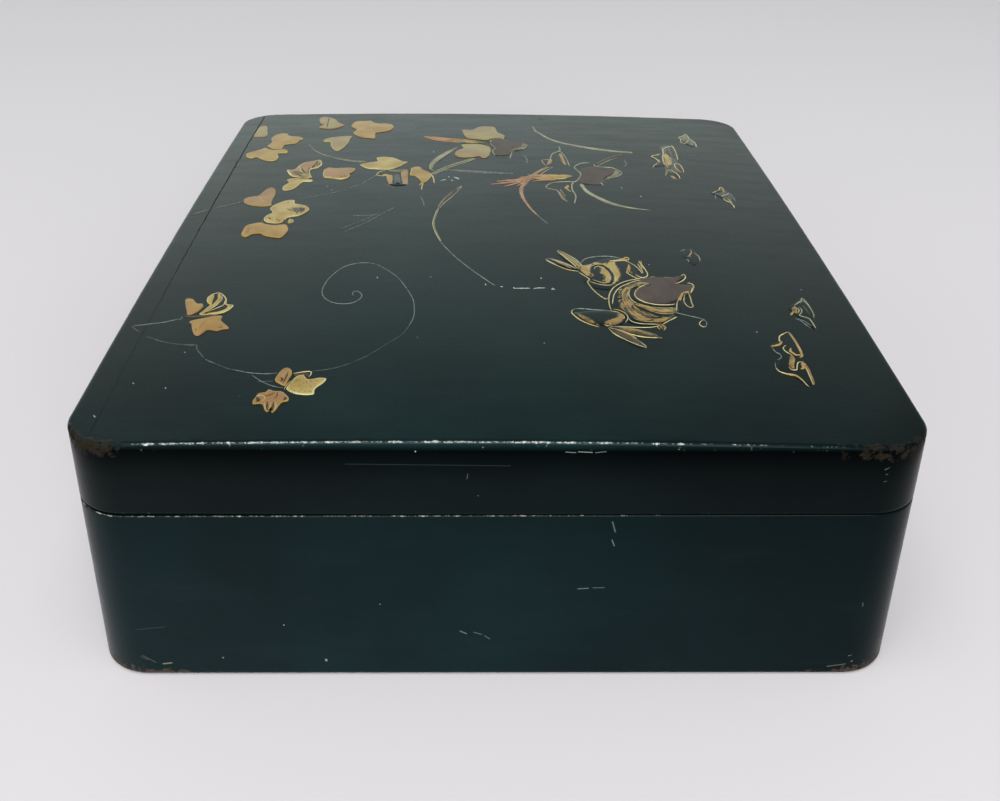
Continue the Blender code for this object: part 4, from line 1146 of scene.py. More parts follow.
# Lines and patches, as (tone, width, points) and (tone, soft edge, most cover, points)
ivyLines = (
    ("brown", 0.5, ((-89.2, 169), (-88.8, 160), (-88.2, 149))),
    ("umber", 1.0, ((-90.4, 156), (-91.8, 154.6), (-92.4, 152.6))),
    ("umber", 1.3, ((-115.8, 115.4), (-112.8, 110.9), (-110, 109.4), (-106.6, 109.6))),
    ("pale", 0.8, ((-98.9, 74.4), (-98, 71.2), (-96.2, 67.2))),
    ("umber", 1.3, ((-86.4, 88.4), (-86, 84.6), (-87.2, 80.4), (-87.4, 77.6))),
    ("umber", 0.6, ((-84.7, 87.4), (-84.8, 84), (-86, 80.4))),
    ("pale", 0.45, ((-85.6, 88.6), (-85.3, 84.6), (-86.6, 80.6))),
    ("pale", 0.5, ((-94, 80), (-92.4, 73.6), (-89.4, 67), (-87.4, 64.4))),
    ("umber", 0.9, ((-92.6, 77), (-91, 72), (-88.8, 66.6))),
    ("umber", 0.5, ((-88.8, 79), (-88.9, 73), (-88, 67.6))),
    ("umber", 1.2, ((-96.4, 65.2), (-93.5, 62.8), (-88.8, 61.8), (-86.2, 62.8))),
    ("pale", 0.5, ((-80.4, 63.6), (-77.3, 62.6), (-73.5, 60.9), (-70.6, 61), (-68.8, 63.6))),
    ("umber", 0.5, ((-70.8, 65.4), (-69.8, 63), (-70, 61.8))),
    ("umber", 0.5, ((-72.4, 64), (-71.2, 62.2))),
    ("ochre", 0.6, ((-106.4, 37.4), (-104.5, 31), (-101, 26.2))),
    ("ochre", 0.5, ((-94.5, -1.4), (-92.6, -7), (-89.8, -12))),
    ("orange", 2.2, ((-105.4, -2.6), (-105, -6.4), (-105.2, -10))),
    ("umber", 1.1, ((-100.8, 6), (-99.8, 2.9), (-97.4, 1.2), (-94.2, 0.4), (-90.4, 1), (-89.4, 1.4))),
    ("umber", 1.0, ((-89.6, 7.2), (-90.7, 5), (-90.3, 2.6), (-89.4, 1.4))),
    ("yellow", 2.2, ((-88.7, 7), (-88.3, 4.4), (-88.6, 2))),
    ("pale", 0.4, ((-87.9, 7.2), (-87, 4.4), (-87.7, 2))),
    ("brown", 0.9, ((-98.2, 8.8), (-97.6, 7.4), (-97, 6.2))),
    ("brown", 0.8, ((-94.6, 6), (-93.4, 4.8), (-92.6, 3.8))),
    ("pale", 0.4, ((-99, 9), (-97.2, 4.6), (-93.4, 2.8))),
    ("pale", 0.4, ((-96, 8.4), (-94.8, 5), (-91.9, 4.4))),
    ("umber", 0.7, ((-92.3, 27.8), (-92.2, 26))),
    ("pale", 0.5, ((-87.6, 15.6), (-87.2, 12.6), (-88, 11))),
    ("pale", 0.45, ((-85.6, 16.2), (-86, 13.4), (-86.8, 11.8))),
    ("pale", 0.5, ((-84.9, 23.8), (-83, 21.2), (-82.2, 18.5), (-83.8, 13.8), (-85.9, 11.2))),
    ("yellow", 2.2, ((-106.9, -72.6), (-107.3, -75.6), (-106.7, -79), (-106.1, -80.2))),
    ("pale", 0.6, ((-105.2, -70.4), (-107.8, -72.5), (-108.4, -75.2), (-107.7, -78.4), (-106.2, -80.7))),
    ("yellow", 1.3, ((-104.9, -71.4), (-104, -75.6), (-104.6, -80), (-106.2, -84.6), (-108.4, -88.2))),
    ("pale", 0.5, ((-103.6, -73), (-102.9, -76.6), (-103.9, -81), (-105.6, -85), (-107.8, -88.6))),
    ("black", 0.4, ((-105.5, -72), (-105.9, -76), (-105.9, -80.2))),
    ("yellow", 1.1, ((-101, -80.8), (-99.2, -82), (-99.6, -85.4), (-102.4, -87.8), (-106, -88.7))),
    ("pale", 0.4, ((-101.6, -78), (-101.4, -81.4), (-103.8, -84.6), (-106.2, -87))),
    ("umber", 1.3, ((-114, -89.9), (-111.4, -90.4), (-108, -90.2), (-104, -89.9), (-101.4, -89.7))),
    ("umber", 1.0, ((-116.8, -74.8), (-115, -74.4), (-113.7, -75.6))),
    ("brown", 0.8, ((-107.8, -101), (-107.2, -102.6))),
    ("brown", 0.9, ((-99.8, -100.2), (-98.2, -99.9))),
    ("orange", 0.7, ((-105, -94), (-106.4, -99), (-106.2, -103))),
    ("black", 0.9, ((-72.2, -137.8), (-71.5, -139), (-71.9, -140.4))),
    ("brown", 0.6, ((-70.4, -134), (-70.6, -138), (-71, -141.4))),
    ("umber", 1.7, ((-68, -135.8), (-66, -134.6), (-64, -134.8), (-63.8, -136.6))),
    ("pale", 0.45, ((-68.5, -134.4), (-66, -133.4), (-63.2, -133), (-62.6, -134.4), (-63.2, -137))),
    ("pale", 0.4, ((-67.8, -136), (-65.8, -134.9), (-64.6, -136.2))),
    ("pale", 0.4, ((-68.9, -139.2), (-69.8, -142.4), (-70.2, -145))),
    ("umber", 2.0, ((-78.2, -150.6), (-77.4, -152), (-77.6, -153.4))),
    ("umber", 1.5, ((-69.2, -150.6), (-68.8, -151.6), (-69.4, -152.6))),
    ("umber", 0.8, ((-74.3, -153.4), (-74, -156), (-73.7, -158.6))),
    ("umber", 0.8, ((-72.4, -153.6), (-72.2, -156.2), (-71.9, -159.2))),
    ("pale", 0.35, ((-75.2, -153.4), (-74.6, -156.4), (-73.7, -159.2))),
    ("pale", 0.35, ((-73.1, -154), (-73, -156.4), (-73.2, -158.6))),
    ("pale", 0.35, ((-71.6, -153.6), (-71.2, -156.4), (-71.6, -159.4))),
    ("brown", 0.5, ((-72.8, -147.4), (-74.2, -149), (-76, -150))),
    ("brown", 0.4, ((-72, -147.2), (-71.8, -149.4), (-72.4, -151.6))),
    ("pale", 0.4, ((-78.4, -149.6), (-76.8, -149.2), (-75.4, -150.8), (-76.2, -153.4))),
)
dots = random.Random(5)
for step in range(34):
    # little brown specks in the yellow front leaf
    spotX, spotY = -68.6 + 8.4 * dots.random(), -147.6 + 9 * dots.random()
    ivyLines += (("brown", dots.uniform(0.3, 0.55), ((spotX, spotY), (spotX + 0.3, spotY - dots.uniform(0.3, 0.8)))),)
ivyLines += brushed(41, ((-90.4, 20.4), (-88, 17.4), (-86.4, 14.4), (-86.2, 12)), (2.0, 2.0, 1.4, 0.8), 26, (3, 6),
                    (0.3, 0.6), ("olive", "olive", "umber"))
ivyLines += brushed(42, ((-96.6, 71.4), (-93.2, 69), (-90.6, 65.8), (-89.4, 63.8)), (1.2, 2.2, 2.2, 1.0), 30, (3, 7),
                    (0.3, 0.7), ("olive", "olive", "umber", "yellow"))
ivyPatches = (
    ("umber", 1.6, 0.9, ((-87.6, 20), (-85.4, 20.6), (-83.6, 18.8), (-84.2, 15.8), (-85.6, 14.6), (-87.4, 16),
                         (-88.4, 17.6))),
)
stemLines = (
    ("olive", (0.5, 0.9, 1.4, 1.6, 1.6), ((-94, 118), (-91, 110), (-88, 103.6), (-84, 98.6), (-78, 93.6), (-70, 88.6),
                                          (-62, 86.6))),
    ("vine", 0.5, ((-85, 98.6), (-78.4, 92.8), (-70.4, 87.8), (-63, 85.8))),
    ("vineFaint", 0.55, ((-55.6, 66), (-58, 60), (-62, 52), (-67, 46))),
    ("vineFaint", 0.34, ((-67, 46), (-70, 43), (-80, 36), (-88, 32.6))),
    ("vineFaint", 0.7, ((-133, 13), (-129, 17), (-126, 20))),
    ("vineFaint", 0.6, ((-124, 21.6), (-118, 25.6), (-112, 30))),
    ("vineFaint", 0.35, ((-62, 10), (-56, 10.2), (-50, 11.5))),
    ("vineFaint", 0.45, ((-64, -10), (-55, 2), (-48, 14), (-44, 20))),
    ("vineFaint", 0.28, ((-66, -6), (-57, 4), (-50, 14))),
    ("vineFaint", 0.4, ((-51, 52), (-48, 49), (-45.5, 46))),
    ("vineFaint", 0.55, ((-130.4, -97.8), (-127, -97.3), (-124, -96.5), (-120, -95.5), (-115.4, -93))),
    ("vineFaint", 0.5, ((-115, -90.8), (-114.2, -92), (-115, -93.4), (-114, -94))),
    ("vineDim", 0.6, ((-131, -98.2), (-129, -101), (-126.5, -103.5))),
    ("vineDim", 0.5, ((-124, -106.5), (-121, -108.5), (-115, -112), (-109, -113.5), (-105, -113.7),
                        (-104, -117), (-100, -124))),
    ("vineDim", 0.6, ((-121.4, -108), (-118.4, -110.6), (-116, -111.6))),
    ("vineDim", 0.8, ((-109, -113.4), (-106.6, -114.4), (-104.8, -113.6))),
    ("vineFaint", 0.5, ((-99.6, -124.6), (-97.4, -126.4), (-95.4, -128))),
    ("vineDim", 0.45, ((-96, -127.6), (-90, -131.8), (-86, -133))),
    ("vineFaint", 0.45, ((-91, -131.4), (-87, -132.9), (-83, -134.4), (-78, -135.2), (-73.8, -134.8))),
    ("vineFaint", 0.38, ((-82, -136), (-78, -140.5), (-74, -143.5), (-70.4, -144.8))),
    ("vineDim", 0.5, ((-79.6, -140.6), (-77, -140.4), (-74.4, -140.2))),
    ("vineDim", 0.5, ((-62.3, -133.6), (-58, -132.7), (-54, -131), (-50, -128))),
    ("vineDim", 0.4, ((-50, -128), (-45, -123), (-40, -116), (-34, -107), (-31.8, -100))),
    ("vine", 0.32, ((-31.8, -100), (-30.6, -94), (-30.4, -88), (-31.3, -78), (-34, -68.5))),
    ("vineFaint", 0.4, ((-34, -68.5), (-38, -58), (-43, -50), (-47.5, -44.5))),
    ("vine", 0.38, ((-48, -44.3), (-52, -43), (-56, -44), (-60, -47), (-63, -53), (-65.2, -60), (-66.2, -69),
                   (-64.9, -75.5), (-61.5, -80), (-57.5, -81.6), (-53.5, -80.6), (-51, -76.6),
                   (-51, -73), (-53, -70.2), (-54.4, -71.6), (-54, -74.5))),
    ("olive", 0.8, ((-24.4, 20), (-25.5, 10), (-26, 2), (-25, -8), (-22.4, -20))),
    ("pale", 0.4, ((-25, 18), (-26.1, 8), (-26.4, 0), (-25, -10), (-22.6, -20))),
    ("vine", 0.45, ((-22.6, -20.6), (-17, -35), (-10, -49), (-3, -61), (-0.4, -65))),
    ("umber", 1.1, ((-16.6, 46.4), (-18, 42), (-19, 39))),
    ("umber", 1.3, ((-19.6, 37), (-20.8, 33.2), (-21.6, 30.4))),
    ("umber", 0.8, ((-22.4, 27), (-23.6, 22.4))),
    ("umber", 0.6, ((-26, 88), (-23.4, 96), (-20.6, 103))),
    ("umber", 0.6, ((-26, 71.6), (-20.6, 79), (-14.6, 85.6), (-10, 90.6))),
    ("yellow", 1.0, ((-33, 56), (-33.6, 53), (-34.4, 50.4))),
    ("pale", 0.6, ((-32.4, 55), (-33, 50), (-33, 44.4))),
    ("vineFaint", 0.5, ((-33, 35), (-31.5, 27), (-31, 22))),
    ("pale", 0.7, ((-28.8, 66), (-28, 60.5), (-27.4, 54))),
    ("pale", 0.6, ((-30.6, 80), (-30, 76), (-28.2, 73))),
    ("umber", 0.6, ((-40, 78), (-40.3, 70), (-40, 62))),
    ("rose", (1.6, 1.9, 1.6, 1.3, 0.8, 0.3), ((15, 55), (13.4, 48), (13.2, 40), (14.2, 31), (16.8, 20), (19.6, 11))),
    ("umber", 0.45, ((14.4, 50), (13.4, 41), (14.4, 31), (16.6, 21))),
    ("pale", 0.4, ((12.6, 48), (12.6, 40), (13.8, 31), (16.4, 20), (19, 12))),
    ("vine", 0.35, ((18.6, 13), (20.8, 7.4), (23.4, 1))),
)
flowerLines = (
    ("silver", 0.6, ((2.7, 128.8), (0.2, 125), (-0.4, 119.5), (1.1, 114.1), (2, 110.5), (0.6, 105.9), (1.1, 101.4),
                   (1.6, 98.4))),
    ("silver", 0.6, ((7.2, 125.4), (11.1, 123.9), (15.6, 121.1), (18.2, 117.8), (18.3, 115.4), (16.7, 111.1),
                   (12.2, 108.3), (10.6, 105.6), (9.8, 100), (9.2, 93.8))),
    ("silver", 0.5, ((7.4, 134.4), (6.6, 129.4), (7.2, 125.4))),
    ("olive", 2.2, ((16.8, 119.4), (16.8, 115), (14.6, 111), (11.6, 108.6), (9.6, 105))),
    ("umber", 0.9, ((-3, 125.4), (-0.8, 122), (-0.4, 118))),
    ("umber", 0.8, ((-14.8, 119.4), (-9, 119.4), (-4.6, 118.4), (-1.4, 116))),
    ("umber", 0.8, ((-12.6, 127.6), (-7, 126.4), (-3.6, 124.2))),
    ("silver", 0.5, ((-4.8, 97.6), (-4.6, 95.2), (-2.8, 94.6))),
    ("silver", 0.55, ((35, 116.4), (35.2, 109.6), (33.9, 107.2), (31.1, 103.3), (29.8, 97.8), (29.1, 93.3),
                    (25.2, 91.7), (25.6, 86.7), (26.9, 82.2))),
    ("silver", 0.55, ((34.4, 107.4), (35.6, 106), (37.2, 97.8), (37.8, 90), (38.3, 83.3))),
    ("orange", 1.5, ((34.8, 103.6), (35.4, 96), (35.8, 90), (36.4, 84.6))),
    ("umber", 0.6, ((33.6, 101), (34.2, 94), (34.6, 87))),
    ("orange", 1.8, ((29.6, 94), (28.8, 89), (27.6, 84.4))),
    ("silver", 0.5, ((27.2, 81), (21.3, 72.6), (18.3, 66))),
    ("orange", 0.8, ((28.2, 81), (22.8, 73), (19.8, 67.4))),
    ("silver", 0.5, ((30, 81.1), (25, 72.6), (22.8, 68))),
    ("silver", 0.65, ((48.6, 89), (44.4, 87.8), (41.1, 83.3), (40.6, 80), (41.7, 75.6), (42.8, 71.1), (42.2, 66.7),
                    (40, 60), (38.3, 57.8), (37.3, 53.3), (37.2, 46.7), (38.1, 38.9), (37.2, 31.1), (36.5, 28.2))),
    ("silver", 0.7, ((50.6, 86.7), (51.1, 83.3), (54.4, 82.4), (58.9, 81.6), (61.7, 77.8), (63.3, 74.4))),
    ("olive", 2.6, ((60.8, 77), (60.4, 72.6), (58.4, 68.6), (55.2, 65.4))),
    ("silver", 0.7, ((63.3, 74.4), (62.2, 71.1), (60, 67.8), (56.7, 65.6), (53.9, 63.4))),
    ("silver", 0.55, ((38.6, 59), (32.2, 58.3), (27.8, 56.1), (25.3, 52.2), (25.3, 48.9), (27.8, 47.2), (30, 45.6),
                    (30.8, 40), (31.8, 34.4), (34, 30.6))),
    ("silver", 0.4, ((31.4, 48), (32.4, 42), (33.4, 37))),
    ("orange", 0.8, ((30.8, 44), (31.8, 38), (33, 34))),
    ("ochre", 1.8, ((35.6, 53.4), (34.6, 50), (34.4, 48))),
    ("ochre", 0.8, ((33.6, 50.4), (35, 47), (36.4, 44))),
    ("silver", 1.1, ((42, 56), (41.7, 53), (42.4, 50))),
    ("white", 0.7, ((51.2, 57.6), (52.4, 54.4))),
    ("vineFaint", 0.7, ((16, 100), (17.5, 94), (17.5, 87))),
    ("vineFaint", 0.6, ((66.5, 95), (67, 88), (65, 83.5))),
    ("silver", 0.5, ((51.6, 83), (54.8, 88), (58.8, 93.6), (63.4, 98.6))),
    ("umber", 1.0, ((10.8, 115), (11.4, 113))),
    ("silver", 0.8, ((-51.6, 74.1), (-54.4, 71.4), (-55.3, 66.8), (-53.5, 65.2), (-50.4, 65.6))),
    ("umber", 3.0, ((-51.6, 72.4), (-52.6, 69), (-51.4, 67))),
    ("ochre", 1.6, ((-52.8, 66.8), (-50.4, 66.4), (-49.4, 64))),
    ("ochre", (2.8, 2.8, 2.2, 1.4), ((-49.2, 65.6), (-48.8, 61), (-48.4, 57), (-47.8, 52.8))),
    ("orange", (3.4, 3.2, 2.8, 2.6, 2.2), ((-42.4, 74), (-42, 68), (-41.6, 62), (-41.2, 56), (-41, 52.6))),
    ("silver", 0.4, ((-44, 72), (-43.4, 66), (-42.8, 58))),
    ("olive", (2.6, 3.6, 3.4), ((-50, 73.4), (-46, 72.8), (-42.6, 73.6))),
    # the dark stroke at the foot of this small form is a painted shadow
    ("black", (1.0, 1.8, 1.8, 1.0), ((-47.8, 52.3), (-45.6, 51.7), (-43, 51.6), (-40.8, 52))),
    ("vineDim", (2.4, 3.0, 2.6), ((-45.8, 66), (-45.2, 60), (-44.6, 54.4))),
)
flowerLines += brushed(3, ((-35.6, 132), (-28, 127.4), (-20, 124.8), (-13, 123.4)), (0.6, 2.4, 2.8, 2.6), 46,
                       (4, 9), (0.5, 1.0), ("rose", "rose", "rose", "orange"))
flowerLines += brushed(4, ((-19, 124.6), (-12, 123.4), (-7, 122), (-3, 120.6)), (2.2, 2.6, 2.2, 1.0), 30,
                       (4, 8), (0.6, 1.1), ("olive", "olive", "yellow"))
flowerLines += (
    ("rose", (0.5, 1.5, 1.8, 1.8), ((-0.6, 53.4), (4, 54.8), (9, 56.8), (14, 59.6), (20, 62.6))),
    ("rose", (0.4, 1.2, 1.5, 1.6), ((2, 58), (7, 58.8), (13, 61), (19, 63.6))),
    ("rose", (0.4, 1.1, 1.4), ((5.4, 50.6), (9.4, 53.6), (13.4, 57.4))),
    ("rose", (0.4, 1.1, 1.4), ((11, 50.8), (13, 54), (15, 58))),
    ("rose", (0.4, 1.0, 1.3), ((6.4, 60), (12.2, 60.4), (17.4, 63))),
    ("orange", (0.3, 0.8, 1.2), ((2.4, 55.6), (7.4, 56.6), (12.6, 58.4), (18, 61))),
    ("rose", (0.4, 1.2, 1.2), ((13.4, 64.8), (18.4, 64.8), (24, 66.6))),
    ("rose", (0.4, 1.2, 0.6), ((17, 68), (21, 67.6), (26, 68.8))),
    ("rose", (0.4, 1.1, 0.6), ((18.6, 58.6), (24, 60.4), (30, 61.4))),
    ("orange", (0.6, 1.2, 1.0), ((17, 60.8), (23, 62.8), (29, 63.8))),
)
flowerLines += brushed(7, ((12, 59.6), (17, 62), (23, 64), (30, 65)), (1.6, 2.8, 3.4, 3.0), 40,
                       (4, 8), (0.5, 1.1), ("rose", "rose", "orange", "silver", "umber"))
flowerLines += brushed(8, ((22, 63), (28, 65), (34, 66), (38.6, 67.4)), (3.4, 4.0, 3.4, 0.6), 48,
                       (4, 8), (0.5, 1.0), ("yellow", "ochre", "ochre", "olive", "rose"))
flowerLines += brushed(9, ((26.6, 80), (22, 72.6), (18.4, 65), (15.6, 57), (14, 51)), (0.5, 1.0, 1.6, 1.2, 0.7), 22,
                       (5, 10), (0.4, 0.8), ("rose", "rose", "silver"))

hareLines = (
    # the hare behind: ears, back, cheek, chest and feet
    ("pale", 0.34, ((25.5, -29.1), (26.3, -32.3), (28.6, -37.7), (30.9, -43.2), (32.7, -47.7))),
    ("pale", 0.34, ((25.7, -29.1), (27, -30), (30, -34.1), (32.7, -38.6), (34.5, -44.1), (35.4, -47.4))),
    ("black", 0.26, ((27.8, -33.6), (29.6, -38), (31.6, -42.5), (33.4, -47))),
    ("black", 0.26, ((28.6, -34.2), (30.6, -38.4), (32.8, -43), (34.4, -47.2))),
    ("black", 0.22, ((29.2, -37.6), (30.8, -41.6), (32.6, -46.4))),
    ("vine", 0.5, ((20.5, -38.2), (21.8, -37.5), (24.5, -39.2), (27.7, -42.1), (31.4, -47))),
    ("pale", 0.45, ((22.6, -38.6), (26.2, -41.8), (29.2, -44.8), (31.8, -48))),
    ("pale", 0.45, ((20.4, -38.6), (20.9, -40), (23.6, -43.6), (27.3, -47.7), (30, -49.5), (32.8, -50.2))),
    ("orange", 0.7, ((24.4, -41.2), (27.2, -44.2), (30, -47.8))),
    ("pale", 0.42, ((32.7, -50.9), (34.5, -54.5), (36.4, -58.2), (35.5, -60.5), (36.1, -64.1), (37.7, -69.5),
                    (40, -74.5), (41.5, -75.9), (42.3, -74.3))),
    ("vine", 0.6, ((34.5, -41.4), (35.9, -38.2), (38.6, -35.9), (43.2, -34.6), (46.8, -34.6), (50.5, -35.9))),
    ("pale", 0.5, ((45.4, -41.6), (46.8, -39.7), (50.5, -38.6), (52.8, -39.2), (54.4, -41))),
    ("black", 0.6, ((44, -43.6), (45.4, -41), (48, -40))),
    ("pale", 0.5, ((51.6, -37.8), (52.6, -35.4), (54.2, -35.8), (53.8, -38.4))),
    ("black", 0.75, ((38.5, -46.6), (40, -44.6), (42.3, -44.4), (44.1, -46.8), (45.4, -51.4), (45.7, -55.9),
                     (45, -60.4), (43.2, -62.6), (40, -61.8), (37.1, -59.4))),
    ("pale", 0.36, ((39.2, -48.4), (39.6, -46.2), (41.4, -45.3), (43.1, -47.4), (44.4, -51.6), (44.8, -55.9),
                    (44.1, -59.8), (42.8, -61.6), (40.4, -60.9), (37.7, -58.7))),
    ("pale", 0.36, ((37.9, -45.8), (39.8, -43.7), (42.5, -43.4), (45, -46.2), (46.4, -51.2), (46.7, -56),
                    (46, -60.8), (43.6, -63.6), (39.6, -62.8), (36.3, -60.2))),
    ("pale", 0.42, ((54.1, -40.2), (56.2, -44.4), (57.4, -48.4), (57.8, -51.4))),
    ("black", 0.35, ((54.4, -42.6), (55.8, -46), (56.7, -49), (57.1, -51.6))),
    ("pale", 0.42, ((57.2, -41.4), (57.7, -45), (58.2, -48.4), (58.2, -51))),
    ("pale", 0.5, ((58, -39.8), (58.9, -43.2), (59.6, -47.7), (60, -51.4), (59.1, -54.5), (56.9, -55.2),
                   (55, -52.4))),
    ("pale", 0.42, ((53.6, -42.4), (52.4, -48.6), (51.8, -51.4), (54.1, -55), (55.9, -56.4))),
    ("black", 0.3, ((53.4, -49.5), (54.2, -52), (55.8, -54.4))),
    ("brown", 0.8, ((36.2, -52.8), (37.2, -54), (36.8, -55.2))),
    ("orange", 0.6, ((35.6, -53), (37.6, -52.8), (38.2, -54.6), (36.8, -56.2))),
    # the hare in front: back, flank, head, ears and legs
    ("pale", 0.42, ((57.7, -55.4), (54.1, -57.3), (50, -60), (46.8, -63.2), (44.5, -66.8), (43, -71.4),
                    (42.3, -75.9), (42, -81.4), (42.3, -85.5))),
    ("black", 0.5, ((57.8, -56.3), (54.4, -58.2), (50.6, -60.8), (47.5, -63.9), (45.4, -67.2), (44, -71.6))),
    ("pale", 0.40, ((57.4, -57.2), (54.2, -59.1), (51, -61.8), (48, -64.9), (46, -68.4), (44.6, -72.4),
                    (43.8, -76.4), (43.2, -80.6))),
    ("black", 0.75, ((55, -63.8), (52.3, -66.8), (51.3, -70.5), (51.3, -74.5), (52.7, -78.5), (55.9, -81.2),
                     (60.5, -82.4), (64.1, -82.2), (66.6, -81.4))),
    ("pale", 0.42, ((58.4, -62.8), (55.9, -64.9), (53.3, -68.6), (52.5, -73.2), (53.9, -77.1), (56.6, -79.5),
                    (60.5, -80.8), (64.6, -80.6), (66.8, -79.7))),
    ("pale", 0.38, ((54.2, -63.4), (51.5, -66.6), (50.4, -70.4), (50.4, -74.8), (51.9, -79.2), (55.3, -82.2),
                    (60.2, -83.6), (64.4, -83.3), (66.8, -82.5))),
    ("black", 0.5, ((57.4, -86.4), (60.5, -87.4), (64.1, -87.6), (65.8, -86.8))),
    ("black", 0.4, ((61.8, -83.9), (64, -84.2), (66, -83.6))),
    ("pale", 0.38, ((56.2, -84.2), (60.2, -85.7), (63.6, -86), (66.4, -85.2))),
    ("pale", 0.38, ((57, -87.2), (60.4, -88.5), (64.2, -88.4), (66, -87.4))),
    ("black", 0.55, ((48.5, -91.6), (49.9, -94.3), (53.2, -95.9), (57.7, -96.2), (59.6, -95.8))),
    ("pale", 0.40, ((49.4, -91.6), (50.8, -93.7), (53.4, -95), (57.6, -95.3))),
    ("pale", 0.40, ((47.9, -92.4), (49, -95.3), (52.3, -96.9), (58.4, -97))),
    ("pale", 0.40, ((57.6, -55.9), (60, -55.5), (66, -54.8), (70.4, -54.6), (73, -52.8), (74.4, -51))),
    ("pale", 0.5, ((74.4, -51), (74.7, -54), (73, -57.5), (71.2, -59.4), (69.4, -61.4))),
    ("pale", 0.5, ((74.6, -59.6), (76, -60), (76.6, -62.6), (75.5, -66), (74.2, -69.4))),
    ("ochre", 0.8, ((74, -68.4), (71.2, -70.2), (69.8, -73.4), (68, -77.4))),
    ("pale", 0.40, ((68, -77.4), (67.4, -80.4), (66.8, -83.8), (66.2, -86.6))),
    ("vine", 0.55, ((28.2, -85.4), (30.5, -84.7), (35.9, -85.5), (41.4, -86.1))),
    ("pale", 0.45, ((41.4, -86.1), (44.3, -87.5), (46.2, -90.3), (46.3, -92.6), (45.2, -95))),
    ("black", 0.55, ((42.6, -85.6), (45.2, -87.2), (46.9, -90.2), (47, -92.8), (45.8, -95.6))),
    ("pale", 0.40, ((43, -84.9), (45.8, -86.6), (47.6, -89.8), (47.6, -93), (46.4, -95.8))),
    ("pale", 0.5, ((28.2, -85.4), (27.4, -87.7), (28.4, -91.4), (30.7, -95), (33.4, -97.7), (36.4, -99.8))),
    ("brown", 0.9, ((33.2, -94.2), (34.2, -95.6))),
    ("pale", 0.45, ((38.8, -97), (38.7, -98.4), (40, -99), (41, -97.8), (40.2, -96.6), (38.8, -97))),
    ("black", 0.8, ((39.7, -97.6), (40, -98))),
    ("pale", 0.45, ((42.3, -99.1), (49.5, -99.6), (55, -99.4), (58.4, -98))),
    ("pale", 0.40, ((40.6, -99.2), (45.9, -100.2), (51.4, -102.4), (55.2, -105), (58.2, -107.9))),
    ("pale", 0.40, ((40, -100), (44.1, -102.6), (48.6, -106), (53.2, -107.7), (58.2, -108))),
    ("black", 0.45, ((43, -100.6), (48.4, -103), (53, -106))),
    ("black", 0.35, ((42, -101), (46.2, -103.6), (50.4, -106))),
    ("pale", 0.42, ((39.8, -100.4), (40.7, -103), (41.6, -105.2), (44.1, -108.8), (47.7, -112.8), (51.3, -115.6))),
    ("pale", 0.38, ((45.6, -104.8), (46.6, -106.2), (49.1, -109.7), (51.4, -113.6), (51.5, -115.6))),
    ("black", 0.4, ((42.2, -103.4), (45, -107.6), (48.2, -111.6))),
    ("black", 0.35, ((43.8, -103.6), (46.6, -107.4), (49.4, -111.6))),
    ("pale", 0.35, ((58.2, -97.4), (57.7, -99), (58.4, -101))),
    ("pale", 0.35, ((60.2, -97.4), (60.6, -99.6), (59.6, -101.6))),
    ("vine", 0.5, ((64, -87.3), (67, -87.4), (70, -88.9), (73.4, -90.6), (75.6, -92.3), (76.3, -94.4),
                   (75.6, -97.4))),
    ("pale", 0.42, ((75.2, -92.4), (73.7, -94.6), (73.5, -96.6), (74.6, -98.3), (75.6, -97.4))),
    ("pale", 0.45, ((66, -90.2), (64, -92.4), (61.4, -95.1), (59.5, -97.3))),
    ("pale", 0.42, ((69.2, -76.4), (70.6, -72), (71.6, -70), (73.4, -69.6), (73.6, -73), (73.4, -78), (73.5, -80.6),
                    (72.5, -82), (71.2, -80.6), (70.7, -76.3), (71.6, -71.8))),
)
hareLines += fringe(21, ((46.6, -43), (48, -47), (48.4, -52), (47.6, -57), (46, -61)), 1.3, 44, ("ochre", "fill"))
hareLines += fringe(22, ((41.6, -46.6), (42.6, -51), (42.8, -56), (42.2, -60)), -1.0, 26, ("yellow", "pale"))
hareLines += fringe(23, ((55, -61), (51, -64), (48.2, -68), (47.2, -73), (46.8, -79), (46.6, -84)), -1.3, 46,
                    ("fill", "ochre", "yellow"))
hareLines += fringe(24, ((46.4, -85), (49.6, -84.4), (54, -87.6), (58.4, -91.4), (62.6, -91.6), (65.4, -89.6)), 1.2,
                    40, ("fill", "ochre"))
hareLines += brushed(25, ((57.6, -61.8), (52.6, -64.6), (49.6, -69), (48.8, -74), (49, -79), (50, -84), (52, -89),
                          (55, -92.6)), (0.8, 1.3, 1.4, 1.4, 1.6, 2.2, 2.4, 1.6), 90, (3, 7), (0.3, 0.7),
                     ("fill", "yellow", "ochre", "ochre", "umber"))
hareLines += brushed(26, ((52, -80), (56, -83.6), (61, -85.6), (66, -85)), (0.8, 1.2, 1.2, 0.9), 30, (3, 7),
                     (0.3, 0.6), ("fill", "yellow", "ochre"))
hareLines += brushed(27, ((50, -91), (54, -93.6), (59, -94), (64, -90.6)), (1.2, 1.4, 1.2, 0.7), 34, (3, 7),
                     (0.3, 0.6), ("fill", "yellow", "umber"))
hareLines += brushed(28, ((35.4, -44), (35.4, -48), (36.2, -52)), (1.2, 1.8, 1.0), 26, (2, 5), (0.3, 0.6),
                     ("yellow", "ochre", "orange"))
hareLines += brushed(29, ((29, -89.4), (31.4, -92.4), (34.4, -96), (36.8, -98.4)), (0.5, 0.9, 0.9, 0.3), 18, (2, 5),
                     (0.3, 0.6), ("fill", "orange", "brown"))
hareLines += brushed(30, ((41, -98), (43.6, -95.6), (44.8, -92.6), (44.4, -90)), (1.0, 1.3, 1.0, 0.4), 22, (2, 4),
                     (0.3, 0.6), ("fill", "yellow", "ochre"))
